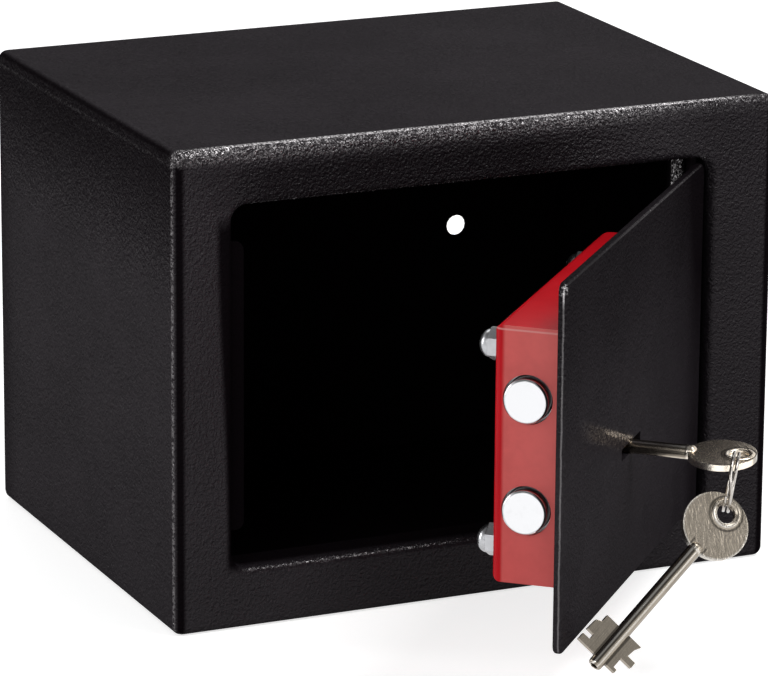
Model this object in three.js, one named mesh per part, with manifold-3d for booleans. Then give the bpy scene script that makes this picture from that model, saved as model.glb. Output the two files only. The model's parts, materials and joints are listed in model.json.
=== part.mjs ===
// Compact key-lock safe: a welded sheet-steel box, a swing door with a folded
// lock cover on its back, two round bolts driven by a key, and two keys on a ring.
// Millimetres, +Z up. The origin is the centre of the underside, +Y is the back.

import * as THREE from 'three';
import { mergeVertices } from 'three/addons/utils/BufferGeometryUtils.js';
import Module from 'manifold-3d';

const wasm = await Module();
wasm.setup();

// Body
const bodyWidth = 230;
const bodyDepth = 174;
const bodyHeight = 172;
const bodySheet = 1.5;
const bodyEdgeRadius = 3.5;
const endRoundShare = 0.9;
const rearRimWidth = 12;
const backPanelSheet = 1.2;
const fixingHoleDiameter = 8;
const fixingHoleSpacing = 141;
const fixingHoleHeight = 87.3;

// Front opening and its rolled lip, measured from the body's outer faces
const frameLeft = 21.8;
const frameRight = 25.4;
const frameBottom = 21.8;
const frameTop = 20.8;
const openingCorner = 5.5;
const lipRadius = 2.8;
const returnDepth = 15;

// Clearances
const seatGap = 0.3;
const runningGap = 0.3;
const overrun = 5;
const lipOverrun = 0.02;
const mergeDistance = 1e-5;

// Door
const doorSheet = 3;
const doorSideGap = 2.2;
const doorEndGap = 1.4;
const doorFreeCorner = 3.5;
const doorHingeCorner = 5;
const doorEdgeRound = 1;
const doorOpenAngle = 47.6;

// Hinge
const hingeInset = 5.6;
const hingeBehindFace = 5;
const doorPastHinge = 0.2;
const hingeRodDiameter = 3.6;
const hingeHoleDiameter = 4.2;
const hingePlateThickness = 3;
const hingePlateWidth = 14;
const hingeTabWidth = 6;
const hingeTabThickness = 2.4;
const hingeTabLength = 27;
const hingeFloorThickness = 1;

// Keeper strip behind the left lip
const keeperThickness = 2.5;
const keeperHeight = 103;
const keeperReach = 5.4;
const keeperCorner = 3;
const keeperDoorGap = 0.5;

// Lock cover on the door's back
const coverWidth = 127;
const coverHeight = 88;
const coverDepth = 24.5;
const coverSheet = 1.2;
const coverInset = 11;
const coverNearRadius = 3;
const coverFarRadius = 6;
const coverCentreHeight = 87;
const coverBoltHole = 17;

// Cover studs and domed nuts
const studDiameter = 5.6;
const studInsetSide = 12.75;
const studInsetEnd = 10.2;
const nutAcrossFlats = 10;
const nutHexHeight = 4.6;
const nutHeight = 8.2;
const nutBoreDepth = 6.6;
const nutDomeShare = 0.94;

// Bolts and their carriage
const boltDiameter = 15.3;
const boltLength = 30.3;
const boltChamfer = 0.8;
const boltProud = 3;
const boltInsetEnd = 25;
const boltCentreAboveCover = 0.5;
const boltBehindFace = 15.7;
const boltSpigotDiameter = 8;
const boltGuideStudGap = 0.6;
const boltGuideInset = 3;
const boltGuideMargin = 2.9;
const carriageFlange = 3;
const carriageSheet = 2;
const carriageMargin = 3.3;
const carriageWebLength = 27;
const carriageArmWidth = 15;
const carriageBehindFace = 11.5;
const carriageArmEndGap = 1;
const pinSpigotShare = 0.6;
const boltTravel = 12;

// Key and keyhole
const keyAxisFromFreeEdge = 83.3;
const keyAxisHeight = 71.25;
const keyShaftDiameter = 5;
const keyShaftLength = 55;
const keyTipCone = 1;
const keyBowDiameter = 23.5;
const keyBowThickness = 2.2;
const keyHoleDiameter = 6.6;
const keyHoleOffset = 5.8;
const keyCollarDiameter = 11.3;
const keyCollarRise = 0.35;
const keyBowOverlap = 1.4;
const keyBitWidth = 20;
const keyBitLength = 13.2;
const keyBitFromTip = 3;
const keyBitThickness = 2;
const keyShowing = 20.3;
const keyRestAngle = 5;
const halfTurnOfKey = 180;
const keyholeLength = 24;
const keyholeHeight = 4.2;
const keyholeCorner = 1;

// The key bit's outline, as shares of its half width and of its length from the tip end
const bitLeftShares = [
  [-0.25, 1], [-0.78, 1], [-0.78, 0.78], [-0.97, 0.7], [-1, 0.36],
  [-0.7, 0.36], [-0.7, 0.2], [-1, 0.2], [-1, 0], [-0.25, 0]];
const bitRightShares = [
  [0.25, 0], [0.66, 0], [0.66, 0.1], [0.52, 0.1], [0.52, 0.4], [0.98, 0.4],
  [0.98, 0.58], [0.64, 0.58], [0.68, 0.82], [0.8, 1], [0.25, 1]];

// Rotor with its scroll cam
const rotorDiameter = 24.6;
const rotorSlotGap = 0.3;
const rotorGrip = 1.9;
const camThickness = 3;
const camBehindFace = 7.9;
const camStartRadius = 15.4;
const camRim = 1.7;
const camSlotOverrunAngle = 9;
const camHubShare = 0.35;
const followerDiameter = 3.2;
const followerGap = 0.3;
const rotorBearingWall = 4.4;
const rotorBearingLength = 4;
const circlipWidth = 2;
const circlipThickness = 1;
const circlipOpeningAngle = 40;

// Lock plate, pillars, levers
const lockPlateThickness = 2;
const lockPlateBehindFace = 16;
const lockPlateWidth = 84;
const lockPlateHeight = 47.5;
const lockPlateInset = 43.5;
const lockPlateDrop = 15.5;
const lockPlateCorner = 6;
const lockPlateStudGap = 0.4;
const pillarDiameter = 5;
const pillarSpigot = 3.4;
const pillarFromFreeEdge = 48;
const pillarLowerDrop = 6.75;
const pillarUpperRise = 26.75;
const leverCount = 3;
const leverThickness = 1.4;
const leverPitch = 1.8;
const leverPostDiameter = 5;
const leverPostShoulder = 7;
const leverPostFromKey = 36.7;
const leverEyeRadius = 6;
const leverWall = 3.4;
const leverSwing = 1.5;
const leverPocketWall = 3.6;
const stumpWidth = 3;
const stumpHeight = 4;
const stumpFromKey = 21.3;
const stumpGap = 0.5;
const springThickness = 0.5;
const springFoot = 5;
const springRise = 3.2;
const springReachShare = 1.24;

// Lock back cap
const capWall = 1.6;
const capEndWall = 1.2;
const capFlange = 2.4;
const capFlangeThickness = 1.4;

// Split ring
const ringRadius = 9.9;
const ringWireDiameter = 1.2;
const ringTurnPitch = 1.65;
const ringJogAngle = 50;
const ringStartAngle = 205;
const ringHangSlack = 1.68;
const ringHoleSlackShare = 0.08;
const ringStepsPerTurn = 24;
const ringSides = 6;

// Curve counts
const arcSteps = 5;
const smallArcSteps = 3;
const roundSides = 32;
const smallRoundSides = 16;
const bevelSteps = 3;
const camSteps = 24;
const circlipSteps = 14;

// Places worked out from the sizes above
const frontY = -bodyDepth / 2;
const backY = bodyDepth / 2;
const openLeft = -bodyWidth / 2 + frameLeft;
const openRight = bodyWidth / 2 - frameRight;
const openBottom = frameBottom;
const openTop = bodyHeight - frameTop;
const hingeX = openRight - hingeInset;
const hingeY = frontY + hingeBehindFace;
const doorWidth = hingeX + doorPastHinge - openLeft - doorSideGap;
const doorBottom = openBottom + doorEndGap;
const doorTop = openTop - doorEndGap;
const doorFreeX = doorPastHinge - doorWidth;
const coverNearX = doorFreeX + coverInset;
const coverFarX = coverNearX + coverWidth;
const coverBottom = coverCentreHeight - coverHeight / 2;
const coverTop = coverCentreHeight + coverHeight / 2;
const keyX = doorFreeX + keyAxisFromFreeEdge;
const boltHeights = [-1, 1].map(
  (side) => coverCentreHeight + boltCentreAboveCover + side * (coverHeight / 2 - boltInsetEnd));
const boltTipX = coverNearX - boltProud;
const boltRearX = boltTipX + boltLength;
const keyTipDepth = keyShaftLength - keyShowing;
const keyBitStartDepth = keyTipDepth - keyBitFromTip - keyBitLength;
const keyHoleFromTip = keyShaftLength + keyBowDiameter / 2 + keyHoleOffset;
const camSlotHalf = followerDiameter / 2 + followerGap;
const leverStartDepth = keyBitStartDepth + rotorGrip + 2 * runningGap;

const restShare = keyRestAngle / halfTurnOfKey;
const followerX = keyX - camStartRadius - boltTravel * restShare;
const stumpX = keyX - stumpFromKey;
const pillarPlaces = [keyAxisHeight - pillarLowerDrop, keyAxisHeight + pillarUpperRise].map(
  (height) => [doorFreeX + pillarFromFreeEdge, height]);
const studPlaces = [coverNearX + studInsetSide, coverFarX - studInsetSide].flatMap(
  (x) => [coverBottom + studInsetEnd, coverTop - studInsetEnd].map((z) => [x, z]));

// Depth is measured from the door's outer face towards the inside of the safe.
const atDepth = (depth) => depth - hingeBehindFace;

const rad = THREE.MathUtils.degToRad;
const fullTurn = 360;

// Finishes
function finish(color, roughness, metalness) {
  return new THREE.MeshStandardMaterial({ color, roughness, metalness });
}

const blackPowder = () => finish(0x1b1a1c, 0.6, 0.1);
const doorPowder = () => finish(0x222124, 0.55, 0.1);
const redPowder = () => finish(0xa3161c, 0.45, 0.1);
const chrome = () => finish(0xe4e5ea, 0.18, 1);
const zincSteel = () => finish(0xa9abad, 0.4, 1);
const castNickel = () => finish(0xa9a08c, 0.35, 1);
const plainSteel = () => finish(0x85878a, 0.45, 1);
const brassMetal = () => finish(0xb58b45, 0.35, 1);

// Solids: a closed geometry becomes a solid that can be joined and cut.
function toSolid(geometry) {
  const bare = geometry.clone();
  bare.deleteAttribute('normal');
  bare.deleteAttribute('uv');
  const merged = mergeVertices(bare, mergeDistance);
  const triVerts = new Uint32Array(merged.index.array);
  const vertProperties = new Float32Array(merged.attributes.position.array);
  return new wasm.Manifold(new wasm.Mesh({ numProp: 3, vertProperties, triVerts }));
}

function toGeometry(solid) {
  const mesh = solid.getMesh();
  const geometry = new THREE.BufferGeometry();
  geometry.setAttribute('position', new THREE.BufferAttribute(mesh.vertProperties.slice(), 3));
  geometry.setIndex(new THREE.BufferAttribute(mesh.triVerts.slice(), 1));
  geometry.computeVertexNormals();
  return geometry;
}

function combine(base, joined = [], removed = []) {
  let solid = toSolid(base);
  for (const extra of joined) {
    solid = solid.add(toSolid(extra));
  }
  for (const tool of removed) {
    solid = solid.subtract(toSolid(tool));
  }
  return toGeometry(solid);
}

function common(first, second) {
  return toGeometry(toSolid(first).intersect(toSolid(second)));
}

// Outlines
function roundedRect(left, bottom, right, top, radii) {
  const [lowLeft, lowRight, highRight, highLeft] = Array.isArray(radii) ? radii : Array(4).fill(radii);
  const shape = new THREE.Shape();
  shape.absarc(left + lowLeft, bottom + lowLeft, lowLeft, Math.PI, 1.5 * Math.PI);
  shape.absarc(right - lowRight, bottom + lowRight, lowRight, 1.5 * Math.PI, 2 * Math.PI);
  shape.absarc(right - highRight, top - highRight, highRight, 0, 0.5 * Math.PI);
  shape.absarc(left + highLeft, top - highLeft, highLeft, 0.5 * Math.PI, Math.PI);
  shape.closePath();
  return shape;
}

function circle(x, y, radius) {
  const shape = new THREE.Shape();
  shape.absarc(x, y, radius, 0, 2 * Math.PI);
  return shape;
}

function polygon(points) {
  return new THREE.Shape(points.map(([x, y]) => new THREE.Vector2(x, y)));
}

// Prisms: an outline in one plane, extruded from a start place by a length.
const planeBases = {
  xy: [new THREE.Vector3(1, 0, 0), new THREE.Vector3(0, 1, 0), new THREE.Vector3(0, 0, 1)],
  xz: [new THREE.Vector3(1, 0, 0), new THREE.Vector3(0, 0, 1), new THREE.Vector3(0, -1, 0)],
  yz: [new THREE.Vector3(0, 1, 0), new THREE.Vector3(0, 0, 1), new THREE.Vector3(1, 0, 0)],
};

function prism(plane, shape, start, length, segments = arcSteps) {
  const settings = { depth: length, bevelEnabled: false, curveSegments: segments };
  const geometry = new THREE.ExtrudeGeometry(shape, settings);
  const turnsBack = plane === 'xz';
  geometry.translate(0, 0, turnsBack ? -start - length : start);
  geometry.applyMatrix4(new THREE.Matrix4().makeBasis(...planeBases[plane]));
  return geometry;
}

// A prism in the xz plane whose two ends are rounded inwards, or flared outwards when round is negative.
function softPrism(shape, start, length, round, segments = arcSteps) {
  const size = Math.abs(round);
  const geometry = new THREE.ExtrudeGeometry(shape, {
    depth: length - 2 * size,
    bevelEnabled: true,
    bevelThickness: size,
    bevelSize: round,
    bevelOffset: -round,
    bevelSegments: bevelSteps,
    curveSegments: segments,
  });
  geometry.translate(0, 0, -start - length + size);
  geometry.applyMatrix4(new THREE.Matrix4().makeBasis(...planeBases.xz));
  return geometry;
}

function box(low, high) {
  const size = high.map((value, axis) => value - low[axis]);
  const geometry = new THREE.BoxGeometry(...size);
  geometry.translate(...low.map((value, axis) => value + size[axis] / 2));
  return geometry;
}

// Round bars: a cylinder along one axis from a start place.
function bar(axis, centre, radius, start, length, sides = smallRoundSides) {
  const geometry = new THREE.CylinderGeometry(radius, radius, length, sides);
  geometry.translate(0, start + length / 2, 0);
  if (axis === 'x') {
    geometry.rotateZ(-Math.PI / 2);
    geometry.translate(0, centre[0], centre[1]);
  } else if (axis === 'y') {
    geometry.translate(centre[0], 0, centre[1]);
  } else {
    geometry.rotateX(Math.PI / 2);
    geometry.translate(centre[0], centre[1], 0);
  }
  return geometry;
}

const root = new THREE.Group();

function addPart(parent, name, geometry, material) {
  const mesh = new THREE.Mesh(geometry, material);
  mesh.name = name;
  parent.add(mesh);
  return mesh;
}

// Body shell: one wrapped box with a rolled front opening and a narrow rim at the back.
function bodyShell() {
  const half = bodyWidth / 2;
  const outer = softPrism(
    roundedRect(-half, 0, half, bodyHeight, bodyEdgeRadius),
    frontY, bodyDepth, bodyEdgeRadius * endRoundShare);
  const innerRadius = bodyEdgeRadius - bodySheet;
  const cavity = prism('xz',
    roundedRect(-half + bodySheet, bodySheet, half - bodySheet, bodyHeight - bodySheet, innerRadius),
    frontY + bodySheet, bodyDepth - 2 * bodySheet);
  const rearHole = prism('xz',
    roundedRect(
      -half + rearRimWidth, rearRimWidth, half - rearRimWidth, bodyHeight - rearRimWidth, openingCorner),
    backY - bodySheet - overrun, bodySheet + 2 * overrun);
  const opening = (grow) => roundedRect(
    openLeft - grow, openBottom - grow, openRight + grow, openTop + grow, openingCorner + grow);
  const bend = prism('xz', opening(lipRadius), frontY + bodySheet / 2, lipRadius - bodySheet / 2);
  const flange = prism('xz', opening(bodySheet), frontY + bodySheet / 2, returnDepth - bodySheet / 2);
  const mouth = softPrism(opening(0), frontY - lipOverrun, returnDepth + 2 * lipRadius + overrun, -lipRadius);
  const leftRelief = box(
    [openLeft - lipRadius - bodySheet, frontY + lipRadius, openBottom + openingCorner],
    [openLeft + openingCorner, frontY + returnDepth + overrun, openTop - openingCorner]);
  const pinHoles = bar('z', [hingeX, hingeY],
    hingeHoleDiameter / 2, bodyEdgeRadius, bodyHeight - 2 * bodyEdgeRadius);
  const empty = combine(outer, [], [cavity, rearHole]);
  return combine(empty, [bend, flange], [mouth, leftRelief, pinHoles]);
}

function backPanel() {
  const half = bodyWidth / 2 - bodySheet - seatGap;
  const rear = backY - bodySheet - seatGap;
  const shape = roundedRect(
    -half, bodySheet + seatGap, half, bodyHeight - bodySheet - seatGap, bodyEdgeRadius);
  const holes = [-1, 1].map((side) => bar('y', [side * fixingHoleSpacing / 2, fixingHoleHeight],
    fixingHoleDiameter / 2, rear - backPanelSheet - overrun, backPanelSheet + 2 * overrun));
  return combine(prism('xz', shape, rear - backPanelSheet, backPanelSheet, smallArcSteps), [], holes);
}

function keeperStrip() {
  const left = -bodyWidth / 2 + bodySheet + seatGap;
  const front = frontY + doorSheet + keeperDoorGap;
  const middle = (openBottom + openTop) / 2;
  const corners = [seatGap, keeperCorner, keeperCorner, seatGap];
  const shape = roundedRect(
    left, middle - keeperHeight / 2, openLeft + keeperReach, middle + keeperHeight / 2, corners);
  return prism('xz', shape, front, keeperThickness, smallArcSteps);
}

// Each bracket carries one end of the hinge rod inside the frame, and its tab reaches past the return.
// The lower one has a blind hole, so the rod and the door stand on its floor.
function hingeBracket(side) {
  const upper = side > 0;
  const pastLip = lipRadius + seatGap;
  const plateLow = upper ? openTop + pastLip : openBottom - pastLip - hingePlateThickness;
  const front = frontY + bodySheet + seatGap;
  const tabFront = frontY + returnDepth + seatGap;
  const tabRear = tabFront + hingeTabThickness;
  const plate = box(
    [hingeX - hingePlateWidth / 2, front, plateLow],
    [hingeX + hingePlateWidth / 2 - bodySheet, tabRear, plateLow + hingePlateThickness]);
  const tabEnd = plateLow + (upper ? hingePlateThickness - hingeTabLength : hingeTabLength);
  const plateFar = plateLow + (upper ? hingePlateThickness : 0);
  const tab = box(
    [hingeX - hingeTabWidth / 2, tabFront, Math.min(tabEnd, plateFar)],
    [hingeX + hingeTabWidth / 2, tabRear, Math.max(tabEnd, plateFar)]);
  const holeLow = upper ? plateLow - overrun : plateLow + hingeFloorThickness;
  const holeLength = hingePlateThickness + 2 * overrun;
  const hole = bar('z', [hingeX, hingeY], hingeHoleDiameter / 2, holeLow, holeLength);
  return combine(plate, [tab], [hole]);
}

addPart(root, 'body_shell', bodyShell(), blackPowder());
addPart(root, 'back_panel', backPanel(), blackPowder());
addPart(root, 'keeper_strip', keeperStrip(), blackPowder());
addPart(root, 'hinge_bracket_upper', hingeBracket(1), blackPowder());
addPart(root, 'hinge_bracket_lower', hingeBracket(-1), blackPowder());

// Everything on the door is placed from the hinge line: +X is the hinge side,
// and +Y is into the safe when the door is shut.
const door = new THREE.Group();
door.position.set(hingeX, hingeY, 0);
door.rotation.z = rad(doorOpenAngle);
root.add(door);

function keyholeTools(centreX, start, length) {
  const slot = roundedRect(
    centreX - keyholeLength / 2, keyAxisHeight - keyholeHeight / 2,
    centreX + keyholeLength / 2, keyAxisHeight + keyholeHeight / 2, keyholeCorner);
  const round = bar('y', [centreX, keyAxisHeight], keyShaftDiameter / 2 + runningGap, start, length);
  return [prism('xz', slot, start, length, smallArcSteps), round];
}

function doorPlate() {
  const corners = [doorFreeCorner, doorHingeCorner, doorHingeCorner, doorFreeCorner];
  const shape = roundedRect(doorFreeX, doorBottom, doorPastHinge, doorTop, corners);
  const plate = softPrism(shape, atDepth(0), doorSheet, doorEdgeRound);
  return combine(plate, [], keyholeTools(keyX, atDepth(0) - overrun, doorSheet + 2 * overrun));
}

function hingeRod() {
  const low = openBottom - lipRadius - seatGap - hingePlateThickness + hingeFloorThickness + runningGap / 2;
  const high = openTop + lipRadius + seatGap + hingePlateThickness;
  return bar('z', [0, 0], hingeRodDiameter / 2, low, high - low);
}

// Plan and side outlines of a case that is open towards the door and rounded at its back.
function caseSolid(inset, front) {
  const back = atDepth(doorSheet + coverDepth) - inset;
  const near = coverNearX + inset;
  const far = coverFarX - inset;
  const sideRadius = coverNearRadius - inset;
  const plan = roundedRect(
    near, front, far, back, [seatGap, seatGap, coverFarRadius - inset, sideRadius]);
  const side = roundedRect(
    front, coverBottom + inset, back, coverTop - inset, [seatGap, sideRadius, sideRadius, seatGap]);
  return common(
    prism('xy', plan, coverBottom - overrun, coverHeight + 2 * overrun),
    prism('yz', side, near - overrun, far - near + 2 * overrun));
}

function lockCover() {
  const front = atDepth(doorSheet) + seatGap;
  const outer = caseSolid(0, front - overrun);
  const inner = caseSolid(coverSheet, front - 2 * overrun);
  const frontCut = box(
    [coverNearX - overrun, front - 2 * overrun, coverBottom - overrun],
    [coverFarX + overrun, front, coverTop + overrun]);
  const boltHoles = boltHeights.map((height) => bar('x', [atDepth(boltBehindFace), height],
    coverBoltHole / 2, coverNearX - overrun, coverSheet + 2 * overrun, roundSides));
  const rearStart = atDepth(doorSheet + coverDepth) - coverSheet - overrun;
  const rearLength = coverSheet + 2 * overrun;
  const studHoles = studPlaces.map(
    (place) => bar('y', place, studDiameter / 2 + runningGap, rearStart, rearLength));
  const keyHole = bar('y', [keyX, keyAxisHeight],
    keyBitWidth / 2 + 2 * runningGap, rearStart, rearLength, roundSides);
  return combine(outer, [], [inner, frontCut, ...boltHoles, ...studHoles, keyHole]);
}

function coverStud([x, z]) {
  const start = atDepth(doorSheet) + seatGap;
  const end = atDepth(doorSheet + coverDepth) + seatGap + nutBoreDepth - runningGap;
  return bar('y', [x, z], studDiameter / 2, start, end - start);
}

// Domed hexagon nut: six flats, a round shoulder and a dome, with a blind bore.
function capNut([x, z]) {
  const seat = atDepth(doorSheet + coverDepth) + seatGap;
  const cornerRadius = nutAcrossFlats / 2 / Math.cos(Math.PI / 6);
  const hexagon = new THREE.CylinderGeometry(cornerRadius, cornerRadius, nutHexHeight, 6);
  hexagon.translate(0, nutHexHeight / 2, 0);
  const domeRadius = nutAcrossFlats / 2 * nutDomeShare;
  const domeHeight = nutHeight - nutHexHeight;
  const dome = new THREE.LatheGeometry([
    new THREE.Vector2(0, nutHexHeight / 2),
    new THREE.Vector2(domeRadius, nutHexHeight / 2),
    ...Array.from({ length: smallArcSteps + 1 }, (unused, step) => {
      const angle = step / smallArcSteps * Math.PI / 2;
      return new THREE.Vector2(domeRadius * Math.cos(angle), nutHexHeight + domeHeight * Math.sin(angle));
    }),
  ], smallRoundSides);
  const bore = bar('y', [0, 0], studDiameter / 2 + runningGap, -overrun, overrun + nutBoreDepth);
  const nut = combine(hexagon, [dome], [bore]);
  nut.translate(x, seat, z);
  return nut;
}

function boltGuide() {
  const near = coverNearX + boltGuideInset;
  const low = boltHeights[0] - boltDiameter / 2 - boltGuideMargin;
  const high = boltHeights[1] + boltDiameter / 2 + boltGuideMargin;
  const back = atDepth(doorSheet + coverDepth) - coverSheet - seatGap;
  const far = coverNearX + studInsetSide - studDiameter / 2 - boltGuideStudGap;
  const block = box([near, atDepth(doorSheet) + seatGap, low], [far, back, high]);
  const bores = boltHeights.map((height) => bar('x', [atDepth(boltBehindFace), height],
    boltDiameter / 2 + runningGap, near - overrun, far - near + 2 * overrun, roundSides));
  return combine(block, [], bores);
}

function ring(outerRadius, innerRadius, startDepth, length) {
  const place = [keyX, keyAxisHeight];
  const outer = bar('y', place, outerRadius, atDepth(startDepth), length, roundSides);
  const hole = bar('y', place, innerRadius, atDepth(startDepth) - overrun, length + 2 * overrun, roundSides);
  return combine(outer, [], [hole]);
}

function rotorBearing() {
  const inner = rotorDiameter / 2 + runningGap;
  return ring(inner + rotorBearingWall, inner, doorSheet + seatGap, rotorBearingLength);
}

function lockPlate() {
  const left = doorFreeX + lockPlateInset;
  const low = keyAxisHeight - lockPlateDrop;
  const start = atDepth(lockPlateBehindFace);
  const plate = prism('xz',
    roundedRect(left, low, left + lockPlateWidth, low + lockPlateHeight, lockPlateCorner),
    start, lockPlateThickness, smallArcSteps);
  const cutStart = start - overrun;
  const cutLength = lockPlateThickness + 2 * overrun;
  const stumpSlot = box(
    [stumpX - boltTravel - stumpWidth / 2 - stumpGap, cutStart, keyAxisHeight - stumpHeight / 2 - stumpGap],
    [stumpX + stumpWidth / 2 + 2 * stumpGap, start + cutLength, keyAxisHeight + stumpHeight / 2 + stumpGap]);
  const rotorHole = bar('y', [keyX, keyAxisHeight],
    rotorDiameter / 2 + runningGap, cutStart, cutLength, roundSides);
  const pillarHoles = pillarPlaces.map(
    (place) => bar('y', place, pillarSpigot / 2 + runningGap, cutStart, cutLength));
  const postHole = bar('y', [keyX + leverPostFromKey, keyAxisHeight],
    leverPostDiameter / 2 + runningGap, cutStart, cutLength);
  const studCuts = studPlaces.map(
    (place) => bar('y', place, studDiameter / 2 + lockPlateStudGap, cutStart, cutLength));
  return combine(plate, [], [stumpSlot, rotorHole, ...pillarHoles, postHole, ...studCuts]);
}

function steppedPost(place, bodyDiameter, endDiameter, endDepth) {
  const start = atDepth(doorSheet) + seatGap;
  const shoulder = atDepth(lockPlateBehindFace) - seatGap;
  const body = bar('y', place, bodyDiameter / 2, start, shoulder - start);
  const end = bar('y', place, endDiameter / 2, start, atDepth(endDepth) - start);
  return combine(body, [end]);
}

// A leaf spring: its foot is held at the lever post's side of the plate,
// and its leaf lies over the levers.
function leverSpring() {
  const start = atDepth(leverStartDepth);
  const width = leverPitch * (leverCount - 1) + leverThickness;
  const leafZ = keyAxisHeight + leverWindowRadius() + leverWall + springRise;
  const footX = keyX + leverPostFromKey;
  const tipX = footX - leverPostFromKey * springReachShare;
  const leaf = box([tipX, start, leafZ], [footX, start + width, leafZ + springThickness]);
  const plateFace = atDepth(lockPlateBehindFace + lockPlateThickness) + seatGap;
  const foot = box([footX - springFoot, plateFace, leafZ], [footX, start + width, leafZ + springFoot]);
  return combine(leaf, [foot]);
}

function lockBackCap() {
  const inner = keyBitWidth / 2 + 4 * runningGap;
  const start = doorSheet + coverDepth + seatGap;
  const end = keyTipDepth + 2 * runningGap + capEndWall;
  const place = [keyX, keyAxisHeight];
  const cup = bar('y', place, inner + capWall, atDepth(start), end - start, roundSides);
  const flange = bar('y', place, inner + capWall + capFlange, atDepth(start), capFlangeThickness, roundSides);
  const hollowLength = end - start - capEndWall + overrun;
  const hollow = bar('y', place, inner, atDepth(start) - overrun, hollowLength, roundSides);
  return combine(cup, [flange], [hollow]);
}

addPart(door, 'door_plate', doorPlate(), doorPowder());
addPart(door, 'hinge_rod', hingeRod(), blackPowder());
addPart(door, 'lock_cover', lockCover(), redPowder());
studPlaces.forEach((place, index) => {
  addPart(door, `cover_stud_${index + 1}`, coverStud(place), zincSteel());
  addPart(door, `cap_nut_${index + 1}`, capNut(place), zincSteel());
});
addPart(door, 'bolt_guide', boltGuide(), plainSteel());
addPart(door, 'rotor_bearing', rotorBearing(), brassMetal());
addPart(door, 'lock_plate', lockPlate(), zincSteel());
addPart(door, 'lock_pillar_lower', pillar(pillarPlaces[0]), plainSteel());
addPart(door, 'lock_pillar_upper', pillar(pillarPlaces[1]), plainSteel());
addPart(door, 'lever_post', leverPost(), plainSteel());
addPart(door, 'lever_spring', leverSpring(), plainSteel());
addPart(door, 'lock_back_cap', lockBackCap(), zincSteel());

function pillar(place) {
  return steppedPost(place, pillarDiameter, pillarSpigot, lockPlateBehindFace + lockPlateThickness + seatGap);
}

function leverPost() {
  const end = leverStartDepth + leverPitch * (leverCount - 1) + leverThickness + seatGap;
  return steppedPost([keyX + leverPostFromKey, keyAxisHeight], leverPostShoulder, leverPostDiameter, end);
}

// Bolts: chamfered round bars, each with a spigot riveted through the carriage flange.
function bolt(height) {
  const radius = boltDiameter / 2;
  const profile = [
    [0, 0],
    [radius - boltChamfer, 0],
    [radius, boltChamfer],
    [radius, boltLength],
    [boltSpigotDiameter / 2, boltLength],
    [boltSpigotDiameter / 2, boltLength + seatGap + carriageFlange],
    [0, boltLength + seatGap + carriageFlange],
  ].map(([r, along]) => new THREE.Vector2(r, along));
  const geometry = new THREE.LatheGeometry(profile, roundSides);
  geometry.rotateZ(-Math.PI / 2);
  geometry.translate(boltTipX, atDepth(boltBehindFace), height);
  return geometry;
}

function boltCarriage() {
  const flangeX = boltRearX + seatGap;
  const low = boltHeights[0] - boltDiameter / 2 - carriageMargin;
  const high = boltHeights[1] + boltDiameter / 2 + carriageMargin;
  const flange = box(
    [flangeX, atDepth(boltBehindFace) - boltDiameter / 2, low],
    [flangeX + carriageFlange, atDepth(boltBehindFace) + boltDiameter / 2, high]);
  const webStart = atDepth(carriageBehindFace);
  const webX = flangeX + carriageFlange / 2;
  const webLow = low + carriageSheet / 2;
  const webHigh = high - carriageSheet / 2;
  const armHalf = carriageArmWidth / 2;
  const armEndX = keyX - rotorDiameter / 2 - carriageArmEndGap;
  const web = prism('xz', polygon([
    [webX, webLow],
    [flangeX + carriageWebLength, webLow],
    [flangeX + carriageWebLength, keyAxisHeight - armHalf],
    [armEndX, keyAxisHeight - armHalf],
    [armEndX, keyAxisHeight + armHalf],
    [flangeX + carriageWebLength, keyAxisHeight + armHalf],
    [flangeX + carriageWebLength, webHigh],
    [webX, webHigh],
  ]), webStart, carriageSheet);
  const rivetHoles = boltHeights.map((height) => bar('x', [atDepth(boltBehindFace), height],
    boltSpigotDiameter / 2 + runningGap, flangeX - overrun, overrun + carriageFlange + seatGap));
  const slotHalf = pillarDiameter / 2 + runningGap;
  const slots = pillarPlaces.map(([x, z]) => prism('xz',
    roundedRect(
      x - slotHalf - 2 * runningGap, z - slotHalf, x + slotHalf + boltTravel, z + slotHalf, slotHalf),
    webStart - overrun, carriageSheet + 2 * overrun, smallArcSteps));
  return combine(flange, [web], [...rivetHoles, ...slots, ...carriagePinHoles()]);
}

function carriagePinHoles() {
  const start = atDepth(carriageBehindFace);
  const radius = followerDiameter / 2 * pinSpigotShare + seatGap;
  return [followerX, stumpX].map((x) => bar('y', [x, keyAxisHeight],
    radius, start - overrun, carriageSheet + 2 * overrun));
}

// The follower pin runs in the scroll slot of the cam, and is riveted into the carriage arm.
function followerPin() {
  const plateFront = atDepth(carriageBehindFace);
  const camFront = atDepth(camBehindFace) + runningGap;
  const place = [followerX, keyAxisHeight];
  const pin = bar('y', place, followerDiameter / 2, camFront, plateFront - seatGap - camFront);
  const spigotLength = plateFront + carriageSheet - camFront;
  const spigot = bar('y', place, followerDiameter / 2 * pinSpigotShare, camFront, spigotLength);
  return combine(pin, [spigot]);
}

// The gate stump is the square post that must pass the levers' gates before the bolts can move.
function gateStump() {
  const plateFront = atDepth(carriageBehindFace);
  const start = plateFront + carriageSheet + seatGap;
  const end = atDepth(leverStartDepth) + leverPitch * (leverCount - 1) + leverThickness;
  const post = box(
    [stumpX - stumpWidth / 2, start, keyAxisHeight - stumpHeight / 2],
    [stumpX + stumpWidth / 2, end, keyAxisHeight + stumpHeight / 2]);
  const spigot = bar('y', [stumpX, keyAxisHeight],
    followerDiameter / 2 * pinSpigotShare, plateFront, end - plateFront - runningGap);
  return combine(post, [spigot]);
}

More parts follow.
